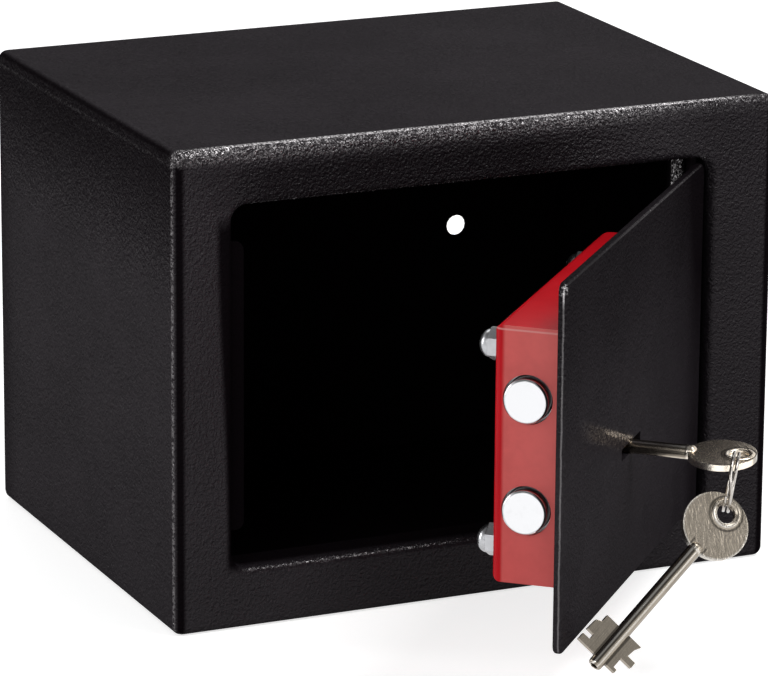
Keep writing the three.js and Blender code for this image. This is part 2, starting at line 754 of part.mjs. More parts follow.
const carriage = new THREE.Group();
door.add(carriage);
addPart(carriage, 'bolt_carriage', boltCarriage(), plainSteel());
addPart(carriage, 'bolt_lower', bolt(boltHeights[0]), chrome());
addPart(carriage, 'bolt_upper', bolt(boltHeights[1]), chrome());
addPart(carriage, 'follower_pin', followerPin(), plainSteel());
addPart(carriage, 'gate_stump', gateStump(), plainSteel());

// Scroll cam: the slot's radius grows evenly over half a turn, so the bolts travel evenly with the key.
function camPoint(turnShare, offset) {
  const angle = Math.PI - turnShare * Math.PI;
  const radius = camStartRadius + boltTravel * turnShare + offset;
  return new THREE.Vector2(radius * Math.cos(angle), radius * Math.sin(angle));
}

function camBand(offsetIn, offsetOut, overrunAngle) {
  const extra = overrunAngle / halfTurnOfKey;
  const shares = Array.from(
    { length: camSteps + 1 }, (unused, step) => -extra + (1 + 2 * extra) * step / camSteps);
  const outer = shares.map((share) => camPoint(share, offsetOut));
  const inner = shares.map((share) => camPoint(share, offsetIn)).reverse();
  return new THREE.Shape([...outer, ...inner].reverse());
}

function keyRotor() {
  const frontDepth = doorSheet + 2 * seatGap;
  const rearDepth = keyBitStartDepth + rotorGrip;
  const drum = bar('y', [0, 0], rotorDiameter / 2, atDepth(frontDepth), rearDepth - frontDepth, roundSides);
  const camStart = atDepth(camBehindFace);
  const rimAngle = THREE.MathUtils.radToDeg((camSlotHalf + camRim) / camStartRadius);
  const lobeShape = camBand(-camStartRadius * camHubShare, camSlotHalf + camRim, rimAngle);
  const lobe = prism('xz', lobeShape, camStart, camThickness);
  const slotCut = prism('xz', camBand(-camSlotHalf, camSlotHalf, camSlotOverrunAngle),
    camStart - overrun, camThickness + 2 * overrun);
  const half = keyBitWidth / 2 + rotorSlotGap + runningGap / 2;
  const slotHeight = keyBitThickness / 2 + rotorSlotGap;
  const keySlot = box(
    [-half, atDepth(0) - overrun, -slotHeight],
    [half, atDepth(rearDepth) + overrun, slotHeight]);
  const shaftHole = bar('y', [0, 0], keyShaftDiameter / 2 + rotorSlotGap,
    atDepth(0) - overrun, rearDepth + 2 * overrun);
  const solid = combine(drum, [lobe], [keySlot, shaftHole]);
  return toGeometry(toSolid(solid).subtract(toSolid(slotCut).subtract(toSolid(drum))));
}

function rotorCirclip() {
  const start = lockPlateBehindFace + lockPlateThickness + seatGap;
  const inner = rotorDiameter / 2 + seatGap;
  const half = rad(circlipOpeningAngle / 2);
  const shape = new THREE.Shape();
  shape.absarc(0, 0, inner + circlipWidth, half, 2 * Math.PI - half);
  shape.absarc(0, 0, inner, 2 * Math.PI - half, half, true);
  shape.closePath();
  return prism('xz', shape, atDepth(start), circlipThickness, circlipSteps);
}

// The rotor's group holds what turns with the key; at rest the key stands a few degrees past its slot.
const rotor = new THREE.Group();
rotor.position.set(keyX, 0, keyAxisHeight);
rotor.rotation.y = rad(-keyRestAngle);
door.add(rotor);
addPart(rotor, 'key_rotor', keyRotor(), brassMetal());
addPart(rotor, 'rotor_circlip', rotorCirclip(), plainSteel());

// Levers: flat plates on the post, with a round window for the key bit and a gate for the stump.
function leverWindowRadius() {
  return keyBitWidth / 2 + leverPostFromKey * Math.sin(rad(leverSwing)) + runningGap;
}

function lever(index) {
  const start = atDepth(leverStartDepth + index * leverPitch);
  const window = leverWindowRadius();
  const place = [keyX, keyAxisHeight];
  const body = bar('y', place, window + leverWall, start, leverThickness, roundSides);
  const gateReach = stumpFromKey + leverPostFromKey;
  const swing = (gateReach + boltTravel) * Math.sin(rad(leverSwing));
  const pocketHalf = stumpHeight / 2 + swing + stumpGap;
  const gateHalf = stumpHeight / 2 + stumpGap;
  const endX = stumpX - boltTravel - stumpWidth / 2 - stumpGap - leverPocketWall;
  const head = prism('xz', roundedRect(
    endX, keyAxisHeight - pocketHalf - leverPocketWall,
    keyX, keyAxisHeight + pocketHalf + leverPocketWall, leverPocketWall),
  start, leverThickness, smallArcSteps);
  const postX = keyX + leverPostFromKey;
  const neck = box(
    [keyX, start, keyAxisHeight - leverEyeRadius],
    [postX, start + leverThickness, keyAxisHeight + leverEyeRadius]);
  const eye = bar('y', [postX, keyAxisHeight], leverEyeRadius, start, leverThickness);
  const cutStart = start - overrun;
  const cutEnd = start + leverThickness + overrun;
  const cutLength = cutEnd - cutStart;
  const pocketWidth = stumpWidth + 2 * stumpGap;
  const pockets = [stumpX - boltTravel - pocketWidth / 2, stumpX - pocketWidth / 2].map((x) => box(
    [x, cutStart, keyAxisHeight - pocketHalf],
    [x + pocketWidth + stumpGap, cutEnd, keyAxisHeight + pocketHalf]));
  const gate = box(
    [stumpX - boltTravel, cutStart, keyAxisHeight - gateHalf],
    [stumpX, cutEnd, keyAxisHeight + gateHalf]);
  const keyWindow = bar('y', place, window, cutStart, cutLength, roundSides);
  const postHole = bar('y', [postX, keyAxisHeight], leverPostDiameter / 2 + runningGap, cutStart, cutLength);
  return combine(body, [head, neck, eye], [...pockets, gate, keyWindow, postHole]);
}

const levers = new THREE.Group();
door.add(levers);
for (let index = 0; index < leverCount; index += 1) {
  addPart(levers, `lever_${index + 1}`, lever(index), brassMetal());
}

// Key: its tip is at the origin and its shaft runs along +Z to a round bow.
function keySolid() {
  const shaftRadius = keyShaftDiameter / 2;
  const bowZ = keyShaftLength + keyBowDiameter / 2;
  const shaft = new THREE.LatheGeometry([
    [0, 0],
    [shaftRadius - keyTipCone, 0],
    [shaftRadius, keyTipCone],
    [shaftRadius, keyShaftLength + keyBowOverlap],
    [0, keyShaftLength + keyBowOverlap],
  ].map(([r, along]) => new THREE.Vector2(r, along)), smallRoundSides);
  shaft.rotateX(Math.PI / 2);
  const bowShape = circle(0, bowZ, keyBowDiameter / 2);
  const bow = prism('xz', bowShape, -keyBowThickness / 2, keyBowThickness, roundSides);
  const collarThickness = keyBowThickness + 2 * keyCollarRise;
  const collar = bar('y', [0, keyHoleFromTip], keyCollarDiameter / 2, -collarThickness / 2, collarThickness);
  const hole = bar('y', [0, keyHoleFromTip], keyHoleDiameter / 2, -collarThickness, 2 * collarThickness);
  const bit = prism('xz', polygon(bitOutline()), -keyBitThickness / 2, keyBitThickness);
  return combine(shaft, [bow, collar, bit], [hole]);
}

function bitOutline() {
  return [...bitLeftShares, ...bitRightShares].map(([across, along]) => [
    across * keyBitWidth / 2, keyBitFromTip + along * keyBitLength]);
}

// Key 1 stands in the lock: its own +Z leaves the lock, towards the outside of the door.
const lockedKey = new THREE.Group();
lockedKey.position.y = atDepth(keyTipDepth);
lockedKey.rotation.x = Math.PI / 2;
rotor.add(lockedKey);
addPart(lockedKey, 'key_1', keySolid(), castNickel());

// Split ring: one wire of nearly two turns, with a short sideways jog where the turns change over.
class RingPath extends THREE.Curve {
  getPoint(share, target = new THREE.Vector3()) {
    const travelled = share * (2 * fullTurn - ringJogAngle);
    const angle = rad(ringStartAngle + travelled);
    const ease = THREE.MathUtils.smoothstep(travelled, fullTurn - ringJogAngle, fullTurn);
    const side = (ease - 0.5) * ringTurnPitch;
    return target.set(ringRadius * Math.cos(angle), ringRadius * Math.sin(angle), side);
  }
}

function ringSteps() {
  return Math.round(ringStepsPerTurn * (2 - ringJogAngle / fullTurn));
}

function splitRing() {
  const section = new THREE.Shape(Array.from({ length: ringSides }, (unused, side) => {
    const angle = side / ringSides * 2 * Math.PI;
    return new THREE.Vector2(Math.cos(angle), Math.sin(angle)).multiplyScalar(ringWireDiameter / 2);
  }));
  const settings = { steps: ringSteps(), extrudePath: new RingPath(), bevelEnabled: false };
  return new THREE.ExtrudeGeometry(section, settings);
}

// The least gap between two places on the ring's wire that are more than a quarter turn apart.
function ringGap() {
  const path = new RingPath();
  const count = 4 * ringSteps();
  const points = Array.from({ length: count + 1 }, (unused, step) => path.getPoint(step / count));
  const apart = ringStepsPerTurn;
  let least = Infinity;
  points.forEach((point, index) => {
    points.slice(index + apart).forEach((other) => {
      least = Math.min(least, point.distanceTo(other));
    });
  });
  return least - ringWireDiameter;
}

// The ring hangs in key 1's hole and key 2 hangs in the ring. Directions are unit vectors on the door.
const ringFromHole1 = new THREE.Vector3(-0.757, 0.061, -0.65).normalize();
const hole2FromRing = new THREE.Vector3(-0.569, 0.016, -0.822).normalize();
const ringTurns = new THREE.Euler(rad(99.3), rad(10.74), rad(-15.26), 'XYZ');
const hangingKeyTurns = new THREE.Euler(rad(37.22), rad(46.61), rad(-82.59), 'XYZ');

const hole1 = new THREE.Vector3(keyX, atDepth(keyTipDepth - keyHoleFromTip), keyAxisHeight);
const ringCentre = hole1.clone().addScaledVector(ringFromHole1, ringRadius + ringHoleSlack());
const hole2 = ringCentre.clone().addScaledVector(hole2FromRing, ringRadius + ringHangSlack);

function ringHoleSlack() {
  return (keyHoleDiameter / 2 - ringWireDiameter / 2) * ringHoleSlackShare;
}

const ringGroup = new THREE.Group();
ringGroup.position.copy(ringCentre);
ringGroup.rotation.copy(ringTurns);
door.add(ringGroup);
addPart(ringGroup, 'split_ring', splitRing(), zincSteel());

// Key 2 is turned about the hole in its bow, which hangs on the ring.
const hangingKey = new THREE.Group();
hangingKey.position.copy(hole2);
hangingKey.rotation.copy(hangingKeyTurns);
door.add(hangingKey);
const keyFromHole = new THREE.Group();
keyFromHole.position.z = -keyHoleFromTip;
hangingKey.add(keyFromHole);
addPart(keyFromHole, 'key_2', keySolid(), castNickel());

console.log(`least gap of the split ring to itself: ${ringGap().toFixed(2)} mm`);

export default root;
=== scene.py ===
"""Looks of a small key-lock car safe, built around its packed construction model."""

import json
import math

import bmesh
import bpy
from bpy.props import FloatProperty, FloatVectorProperty, PointerProperty
from mathutils import Matrix, Quaternion, Vector


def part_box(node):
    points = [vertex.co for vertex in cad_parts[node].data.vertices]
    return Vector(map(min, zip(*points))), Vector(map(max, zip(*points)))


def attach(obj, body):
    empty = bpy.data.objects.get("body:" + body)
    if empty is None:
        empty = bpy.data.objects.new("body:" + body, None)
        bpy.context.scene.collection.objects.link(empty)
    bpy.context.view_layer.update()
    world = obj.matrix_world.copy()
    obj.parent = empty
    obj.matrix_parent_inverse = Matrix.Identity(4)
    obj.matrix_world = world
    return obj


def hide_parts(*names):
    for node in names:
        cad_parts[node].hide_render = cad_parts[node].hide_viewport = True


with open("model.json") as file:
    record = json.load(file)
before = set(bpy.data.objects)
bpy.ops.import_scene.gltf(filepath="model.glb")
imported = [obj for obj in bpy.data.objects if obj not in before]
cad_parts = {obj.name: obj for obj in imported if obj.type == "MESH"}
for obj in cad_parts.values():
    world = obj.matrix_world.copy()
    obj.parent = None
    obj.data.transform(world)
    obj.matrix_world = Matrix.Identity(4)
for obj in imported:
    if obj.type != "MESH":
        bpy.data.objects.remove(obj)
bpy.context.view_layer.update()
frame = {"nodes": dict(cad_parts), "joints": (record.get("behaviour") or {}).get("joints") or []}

bl_info = {
    "name": "Key-lock car safe",
    "version": (1, 0, 0),
    "blender": (4, 5, 0),
    "location": "View3D > Sidebar > Safe",
    "description": "Dresses the packed car safe with finished pieces and materials",
    "category": "Object",
}

JOINTS = {joint["name"]: joint for joint in frame["joints"]}
MILLIMETRE = 0.001
MERGE_DISTANCE = 2e-6
FLAT_DEGREES = 0.4

# The door's own frame: X runs to the hinge, Y into the safe when shut, Z up.
HINGE = Vector(JOINTS["door_hinge"]["pos_m"])
DOOR_ALONG = -Vector(JOINTS["bolt_throw"]["axis"])
DOOR_INWARD = Vector((0, 0, 1)).cross(DOOR_ALONG)
DOOR_FRAME = Matrix.Translation((HINGE.x, HINGE.y, 0)) @ Matrix(
    (DOOR_ALONG, DOOR_INWARD, Vector((0, 0, 1)))).transposed().to_4x4()

# Where the keys and the ring stand: a key's frame starts at its tip and points along +Z to its bow.
KEY_FRAMES = {
    "key_1": ((0.000234, -0.12969, 0.07125), (0.6339116, 0.6588052, 0.2568574, 0.3132986)),
    "key_2": ((-0.014205, -0.207197, 0.015464), (0.8680839, -0.2166491, 0.4237255, -0.1412452)),
}
RING_FRAME = ((0.048188, -0.183851, 0.064672), (0.5992497, 0.6158353, 0.4473627, 0.2480187))

# Painted light: how much brighter than plain nickel the shaft and the bow of each key are painted, for
# how each is lit.
KEY_PAINTED_SHINES = {"key_1": (1.75, 3.4), "key_2": (1.08, 1.17)}
# Painted highlight: the pale nickel painted where the keys catch the light.
HIGHLIGHT_NICKEL = (0.85, 0.82, 0.77)

# The front opening's left, top and bottom edge, where its lip starts to bend.
OPENING_EDGES = [edge * MILLIMETRE for edge in (-93.2, 151.2, 21.8)]

# A key bit's outline, as shares of its half width and of its length from the tip end.
BIT_OUTLINE = (
    (-0.25, 1), (-0.78, 1), (-0.78, 0.78), (-0.97, 0.7), (-1, 0.36),
    (-0.7, 0.36), (-0.7, 0.2), (-1, 0.2), (-1, 0), (-0.25, 0),
    (0.25, 0), (0.66, 0), (0.66, 0.1), (0.52, 0.1), (0.52, 0.4), (0.98, 0.4),
    (0.98, 0.58), (0.64, 0.58), (0.68, 0.82), (0.8, 1), (0.25, 1),
)


def length(name, value, description):
    """A size in millimetres that a user can change."""
    return FloatProperty(
        name=name, description=description, default=value * MILLIMETRE,
        unit="LENGTH", subtype="DISTANCE", precision=5)


def share(name, value, description):
    """A plain number from 0 to 1 that a user can change."""
    return FloatProperty(name=name, description=description, default=value, min=0, max=1)


def colour(name, value, description):
    """A colour that a user can change."""
    return FloatVectorProperty(
        name=name, description=description, default=value, size=3,
        subtype="COLOR", min=0, max=1)


class SafeCoatSettings(bpy.types.PropertyGroup):
    """Colours and grain of the powder coats, and the colours painted in as shade and reflection."""
    body_colour: colour("Body colour", (0.0125, 0.0105, 0.0125), "Black of the outside")
    # Painted shade: the near-black that the inside and other shaded places are painted with.
    painted_shade_colour: colour("Painted shade colour", (0.0034, 0.0024, 0.0031), "Black painted in as shade")
    door_colour: colour("Door colour", (0.013, 0.011, 0.013), "Dark grey of the door")
    cover_colour: colour("Cover colour", (0.46, 0.006, 0.012), "Red of the lock cover")
    # Painted reflection: the paler red painted on the cover's flat end for the light it reflects.
    cover_end_reflection_colour: colour("Cover end colour", (0.63, 0.112, 0.106), "Paler red of its flat end")
    sheen_colour: colour("Sheen colour", (0.56, 0.535, 0.545), "Colour of the coat's sheen")
    sheen: share("Sheen", 0.018, "How much of the sheen the coat shows")
    grain_size: length("Grain size", 1.1, "Width of one wrinkle of the powder coat")
    grain_depth: length("Grain depth", 1.1, "Height of the wrinkles")
    roughness: share("Roughness", 0.46, "Roughness of the powder coat")
    # Painted reflection: the warm colour of the key's reflection painted on the door.
    scuff_colour: colour("Painted reflection colour", (0.5, 0.4, 0.3), "Warm shine of a scuffed patch")


class SafeMetalSettings(bpy.types.PropertyGroup):
    """Colours of the bare metals."""
    chrome_colour: colour("Chrome", (0.68, 0.685, 0.70), "Plating of the bolts")
    zinc_colour: colour("Zinc", (0.42, 0.425, 0.44), "Plating of nuts, ring and plates")
    nickel_colour: colour("Nickel", (0.29, 0.255, 0.21), "Satin plating of the keys")
    steel_colour: colour("Steel", (0.36, 0.36, 0.37), "Plain pressed steel")
    ring_colour: colour("Ring", (0.46, 0.43, 0.40), "Plating of the split ring")
    brass_colour: colour("Brass", (0.52, 0.34, 0.12), "Turned brass of the rotor and levers")


class SafePieceSettings(bpy.types.PropertyGroup):
    """Sizes of the small rounded edges and of the turned pieces."""
    sheet_edge: length("Sheet edge", 0.35, "Rounding of a cut sheet edge")
    bolt_chamfer: length("Bolt chamfer", 0.6, "Chamfer at a bolt's end")
    nut_hexagon: length("Nut hexagon", 4.6, "Height of a nut's six flats")
    nut_width: length("Nut width", 10, "Width of a nut across its flats")
    key_shaft: length("Key shaft", 5, "Diameter of a key's shaft")
    key_shaft_length: length("Key shaft length", 55, "Length of a key's shaft to its bow")
    key_shaft_head: length("Key shaft head", 3, "How far the shaft's rounded end runs over the bow")
    key_bore: length("Key bore", 2.4, "Diameter of the bore in a key's tip")
    key_bow: length("Key bow", 23.5, "Diameter of a key's bow")
    key_bow_thickness: length("Bow thickness", 2.2, "Thickness of a key's bow")
    key_hole: length("Key hole", 6.6, "Diameter of the hole in a key's bow")
    key_hole_offset: length("Hole offset", 5.8, "From the bow's centre to its hole's centre")
    key_collar: length("Key collar", 11.3, "Diameter of the raised collar round the hole")
    key_collar_rise: length("Collar rise", 0.35, "Height of the collar over the bow's face")
    key_bit_width: length("Bit width", 20, "Width of a key's double bit")
    key_bit_length: length("Bit length", 13.2, "Length of a key's bit along its shaft")
    key_bit_start: length("Bit start", 3, "From the key's tip to its bit")
    key_bit_thickness: length("Bit thickness", 2, "Thickness of a key's bit")
    ring_radius: length("Ring radius", 9.9, "Middle radius of the split ring")
    ring_wire: length("Ring wire", 1.2, "Diameter of the split ring's wire")
    ring_pitch: length("Ring pitch", 1.65, "Sideways step between the ring's two turns")


def settings(group):
    """One of the scene's property groups."""
    return getattr(bpy.context.scene, group)


def tinted(shade, by):
    """The same colour, darker or lighter."""
    return [min(1, part * by) for part in shade]


class Value:
    """A node's output that takes part in plain Python arithmetic."""

    def __init__(self, shader, socket):
        self.shader = shader
        self.socket = socket

    def math(self, operation, *values):
        return self.shader.node(
            "ShaderNodeMath", {"operation": operation}, dict(enumerate(values)))

    def __add__(self, other):
        return self.math("ADD", self, other)

    __radd__ = __add__

    def __sub__(self, other):
        return self.math("SUBTRACT", self, other)

    def __rsub__(self, other):
        return self.math("SUBTRACT", other, self)

    def __mul__(self, other):
        return self.math("MULTIPLY", self, other)

    __rmul__ = __mul__

    def __pow__(self, other):
        return self.math("POWER", self, other)

    def __abs__(self):
        return self.math("ABSOLUTE", self)

    def low(self, other):
        return self.math("MINIMUM", self, other)

    def high(self, other):
        return self.math("MAXIMUM", self, other)

    def fade(self, start, end):
        """0 at start and 1 at end, eased in between."""
        return self.shader.node(
            "ShaderNodeMapRange", {"interpolation_type": "SMOOTHSTEP"},
            {"Value": self, "From Min": start, "From Max": end})

    def band(self, start, full, fading, end):
        """1 between full and fading, and 0 outside start and end."""
        return self.fade(start, full) * self.fade(end, fading)

    def line(self, centre, reach, core):
        """1 nearer than core to centre, and 0 further than reach from it."""
        return abs(self - centre).fade(reach, core)


class Shader:
    """The nodes of a material, or of the world, from its coordinates to its surface."""

    def __init__(self, owner, coordinates="Object"):
        self.owner = owner
        self.owner.use_nodes = True
        self.tree = self.owner.node_tree
        self.tree.nodes.clear()
        self.place = self.node("ShaderNodeTexCoord", output=coordinates)

    def node(self, kind, options=None, sockets=None, output=0):
        """A new node: its options are set first, and then its sockets' values or links."""
        made = self.tree.nodes.new(kind)
        for name, value in (options or {}).items():
            setattr(made, name, value)
        for name, value in (sockets or {}).items():
            if isinstance(value, Value):
                self.tree.links.new(value.socket, made.inputs[name])
            else:
                made.inputs[name].default_value = value
        return Value(self, made.outputs[output]) if len(made.outputs) else None

    def mapped(self, scale=(1, 1, 1), offset=(0, 0, 0)):
        return self.node("ShaderNodeMapping", None, {
            "Vector": self.place, "Location": offset, "Scale": scale})

    def joined(self, x, y, z):
        return self.node("ShaderNodeCombineXYZ", None, {0: x, 1: y, 2: z})

    def noise(self, size, detail=2.0, rough=0.5, distort=0.0, place=None):
        """Noise whose features are about size metres wide."""
        return self.node("ShaderNodeTexNoise", None, {
            "Vector": place or self.place, "Scale": 1 / size, "Detail": detail,
            "Roughness": rough, "Distortion": distort})

    def axis(self, name):
        return self.node("ShaderNodeSeparateXYZ", None, {0: self.place}, name)

    def vector(self, operation, first, second=(0, 0, 0), output="Vector"):
        return self.node(
            "ShaderNodeVectorMath", {"operation": operation}, {0: first, 1: second}, output)

    def along(self, direction, origin):
        """Distance from origin along a direction, in metres."""
        moved = self.vector("SUBTRACT", self.place, origin)
        return self.vector("DOT_PRODUCT", moved, direction, "Value")

    def around(self, centre, direction):
        """Distance from a line through centre along direction, in metres."""
        moved = self.vector("SUBTRACT", self.place, centre)
        crossed = self.vector("CROSS_PRODUCT", moved, direction)
        return self.vector("LENGTH", crossed, output="Value")

    def blend(self, factor, first, second):
        """A colour between two colours."""
        shades = [value if isinstance(value, Value) else (*value, 1) for value in (first, second)]
        return self.node(
            "ShaderNodeMix", {"data_type": "RGBA", "blend_type": "MIX"},
            {0: factor, 6: shades[0], 7: shades[1]}, 2)

    def bump(self, height, depth, strength=1.0):
        return self.node(
            "ShaderNodeBump", None, {"Height": height, "Distance": depth, "Strength": strength})

    def surface(self, **sockets):
        """A Principled surface with these sockets."""
        named = {name.replace("_", " "): value for name, value in sockets.items()}
        return self.node("ShaderNodeBsdfPrincipled", None, named)

    def output(self, surface):
        self.node("ShaderNodeOutputMaterial", None, {"Surface": surface})
        return self.owner

    def finish(self, **sockets):
        """Ends the material in one Principled surface."""
        return self.output(self.surface(**sockets))


def new_shader(name):
    return Shader(bpy.data.materials.new(name))


def powder(name, shade, depth_share=1.0, sheen_share=1.0, **looks):
    """Powder coat with a fine wrinkle under an even sheen, with painted light on top. Looks are functions
    that give 0 to 1 over the surface: one deepens the wrinkle's bump and strengthens the painted light on
    its flanks, three add painted highlights and a painted reflection as extra sheen, and one darkens the
    coat as painted shade."""
    flank_light, relief_light, least_relief, least_sheen = 2, 13, 0.25, 0.1
    even_sheen, patchy_sheen, speck_light, crest_light, gloss_smoother = 0.85, 0.3, 0.1, 0.15, 0.24
    coat = settings("safe_coat")
    shader = new_shader(name)
    nothing = shader.axis("X") * 0
    relief, rubbed, glint, scuff, dull = (
        looks[look](shader) if look in looks else nothing
        for look in ("relief", "rubbed", "glint", "scuff", "dull"))

    # Painted light: the wrinkle less the same wrinkle from a little further up adds sheen on the
    # wrinkles' upper flanks, as if they were lit from above.
    size = coat.grain_size
    grain = {"detail": 1.5, "rough": 0.45, "distort": 0.8}
    further_up = shader.mapped(offset=(-size * 0.12, 0, size * 0.28))
    wrinkle = shader.noise(size, **grain)
    flank = wrinkle - shader.noise(size, place=further_up, **grain)
    flank = flank * (flank_light + relief_light * relief)
    coarse, wide = shader.noise(size * 2.2, 1.0), shader.noise(size * 8, 2.0)
    height = wrinkle + 0.3 * coarse + 0.4 * wide
    crests = wrinkle.fade(0.36, 0.64)
    sparks = shader.noise(size * 0.5, 1.0).fade(0.42, 0.66)
    patches = shader.noise(0.06, 3.0, 0.6)

    tone = shader.blend(patches.fade(0.35, 0.7), tinted(shade, 0.85), tinted(shade, 1.15))
    # Painted light: the wrinkles' crests are painted lighter, as if they caught the light.
    tone = shader.blend(crests * 0.5, tone, tinted(shade, 1.6))
    # Painted shade: where the shade look is high, the coat darkens to the shade colour and loses its
    # sheen.
    tone = shader.blend(dull, tone, coat.painted_shade_colour)
    rough = coat.roughness + 0.1 * patches
    normal = shader.bump(height * (least_relief + relief), coat.grain_depth * depth_share)
    sheen = (even_sheen + patchy_sheen * patches) * (1 + flank).high(least_sheen)
    sheen = sheen * (coat.sheen * sheen_share) * (1 - dull)
    # Painted highlights and a painted reflection: extra sheen, speckled and strongest on the crests.
    sheen = sheen + (glint + scuff) * (speck_light + sparks) * (crest_light + crests) + rubbed
    # The gloss is painted warm where the key's painted reflection lies.
    shine = shader.blend((scuff * 8).low(1), coat.sheen_colour, coat.scuff_colour)
    paint = shader.surface(Base_Color=tone, Roughness=rough, Specular_IOR_Level=0.0, Normal=normal)
    gloss = shader.surface(
        Base_Color=shine, Metallic=1.0, Roughness=rough - gloss_smoother, Normal=normal)
    return shader.output(shader.node("ShaderNodeMixShader", None, {0: sheen.low(1), 1: paint, 2: gloss}))


# The masks below give 0 to 1 over the surface. The numbers in fade, band and line are distances in
# metres from the edge or face that the value is named for.


def body_depths(shader):
    """How far a point lies in from the body's sides, front and top, in metres."""
    low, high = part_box("body_shell")
    middle = (low + high) / 2
    half = (high - low) / 2
    beside = half.x - abs(shader.axis("X") - middle.x)
    behind = shader.axis("Y") - low.y
    below = high.z - shader.axis("Z")
    return beside, behind, below


def body_rubbed(shader):
    """Painted highlights: thin speckled lines down the outer side of the upright front bends and along
    the top one, and painted light that makes the top face a little lighter to the right."""
    side_shine, top_shine, face_shine = 0.14, 0.95, 0.006
    beside, behind, below = body_depths(shader)
    side = behind.band(0.0012, 0.0018, 0.0024, 0.0031) * beside.fade(0.0011, 0.0006)
    side = side * below.fade(0.001, 0.004) * side_shine
    top = behind.band(0.0014, 0.002, 0.0028, 0.0036) * below.fade(0.001, 0.0005)
    top = top * beside.fade(0.001, 0.03) * top_shine
    specks = 0.02 + shader.noise(0.0008, 2.0).fade(0.4, 0.58)
    top_face = below.fade(0.001, 0.0002) * shader.axis("X").fade(-0.06, 0.11)
    return (side + top) * specks + top_face * face_shine


def opening_gap(shader):
    """How far a point lies outside the opening's left edge, top edge and bottom edge, in metres."""
    left, top, bottom = OPENING_EDGES
    return left - shader.axis("X"), shader.axis("Z") - top, bottom - shader.axis("Z")


def body_glint(shader):
    """Painted highlights: the bend along the top of the front, brightest on its upper edge and weaker to
    the right, a thin line along the top of the sides, and thin lines on the lips over and under the
    opening."""
    bend_shine, edge_shine, side_line_shine, upper_shine, lower_shine = 0.26, 0.3, 0.03, 0.2, 0.14
    beside, behind, below = body_depths(shader)
    left, above, under = opening_gap(shader)
    right = shader.axis("X").fade(0.035, 0.08)
    edge = edge_shine * below.fade(0.0028, 0.001) * (1 - 0.45 * right)
    bend = behind.fade(0.0046, 0.0018) * below.fade(0.0066, 0.0026)
    bend = bend * (bend_shine * (1 - 0.8 * right) + edge)
    side_line = beside.fade(0.001, 0.0002) * below.line(0.005, 0.0009, 0.0003)
    lips = left.fade(-0.004, -0.008) * behind.band(0.0004, 0.001, 0.0032, 0.004)
    upper = above.band(-0.0006, 0.0, 0.0007, 0.0016)
    lower = under.band(-0.0006, 0.0002, 0.0012, 0.0022)
    return bend + side_line * side_line_shine + lips * (upper * upper_shine + lower * lower_shine)


def body_dull(shader):
    """Painted shade: the black inside, the dark half of each upright front bend, the left lip, the band
    along the top of the front, its foot and right strip, the sides' upper and rear parts, and the top
    corners."""
    bend_dark, lip_dark, corner_dark, side_dark, rear_dark = 0.96, 0.97, 0.9, 0.72, 0.35
    strip_dark, foot_dark, right_dark = 0.66, 0.2, 0.28
    sheet = 0.0012
    beside, behind, below = body_depths(shader)
    left, above, under = opening_gap(shader)
    across, height = shader.axis("X"), shader.axis("Z")
    front = behind.fade(0.003, 0.001)

    inside = behind.band(0.0025, 0.007, 0.172, 0.1727)
    for depth in (beside, below, height):
        inside = inside * depth.fade(sheet, sheet * 1.2)
    bend = beside.band(0.0005, 0.0015, 0.0028, 0.0047) * behind.fade(0.0018, 0.0008)
    bend = bend * below.fade(0.002, 0.006)
    widening = left - 0.0035 * below.fade(0.14, 0.03)
    lip = widening.fade(0.0034, 0.0008) * left.fade(-0.003, -0.001)
    lip = lip * above.fade(-0.0005, -0.009) * under.fade(0.002, -0.002)
    corner = beside.fade(0.0024, 0.0008) * below.fade(0.005, 0.0012) * behind.fade(0.002, 0.006)
    strip = below.band(0.004, 0.01, 0.018, 0.026) * across.band(-0.112, -0.075, 0.015, 0.06) * front
    foot = height.fade(0.026, 0.02) * across.fade(-0.08, -0.03) * front
    right = across.fade(0.07, 0.09) * front
    side = (below.fade(0.06, 0.005) * side_dark).high(behind.fade(0.155, 0.172) * rear_dark)
    side = side * beside.fade(0.0012, 0.0002)

    shade = inside.high(side)
    for part, dark in (
            (bend, bend_dark), (lip, lip_dark), (corner, corner_dark), (strip, strip_dark),
            (foot, foot_dark), (right, right_dark)):
        shade = shade.high(part * dark)
    return shade


def back_dull(shader):
    """Painted shade: the inner fittings are painted black, and only the back panel's outer face shows the
    coat.
    """
    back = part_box("back_panel")[1].y
    return (back - shader.axis("Y")).fade(0.0002, 0.0006)


def body_relief(shader):
    """The wrinkle's bump and the painted light on its flanks are strongest near the top of the front and
    sides, softer on the front's left and right strips, and flow out smooth on the top face."""
    least_relief, upper_relief, right_relief = 0.09, 0.8, 0.15
    left_softening, right_softening = 0.8, 0.7
    behind, below = body_depths(shader)[1:]
    across = shader.axis("X")
    front = behind.fade(0.003, 0.001)
    softer = left_softening * across.fade(-0.086, -0.096) + right_softening * across.fade(0.03, 0.065)
    upper = upper_relief * below.fade(0.06, 0.02) * (1 - softer * front)
    top_face = below.fade(0.002, 0.0003) * behind.fade(0.002, 0.005)
    return (least_relief + upper + right_relief * across.fade(0.07, 0.09)) * (1 - top_face)


def bracket_glint(shader):
    """A painted highlight: a bright speckled patch on the hinge bracket's tab."""
    across = shader.axis("X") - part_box("hinge_bracket_upper")[0].x
    return across.band(0.0043, 0.0047, 0.008, 0.0095)


def door_place(shader):
    """A point's place along the door, inwards from it and upwards, in metres."""
    return shader.along(DOOR_ALONG, HINGE), shader.along(DOOR_INWARD, HINGE), shader.axis("Z")


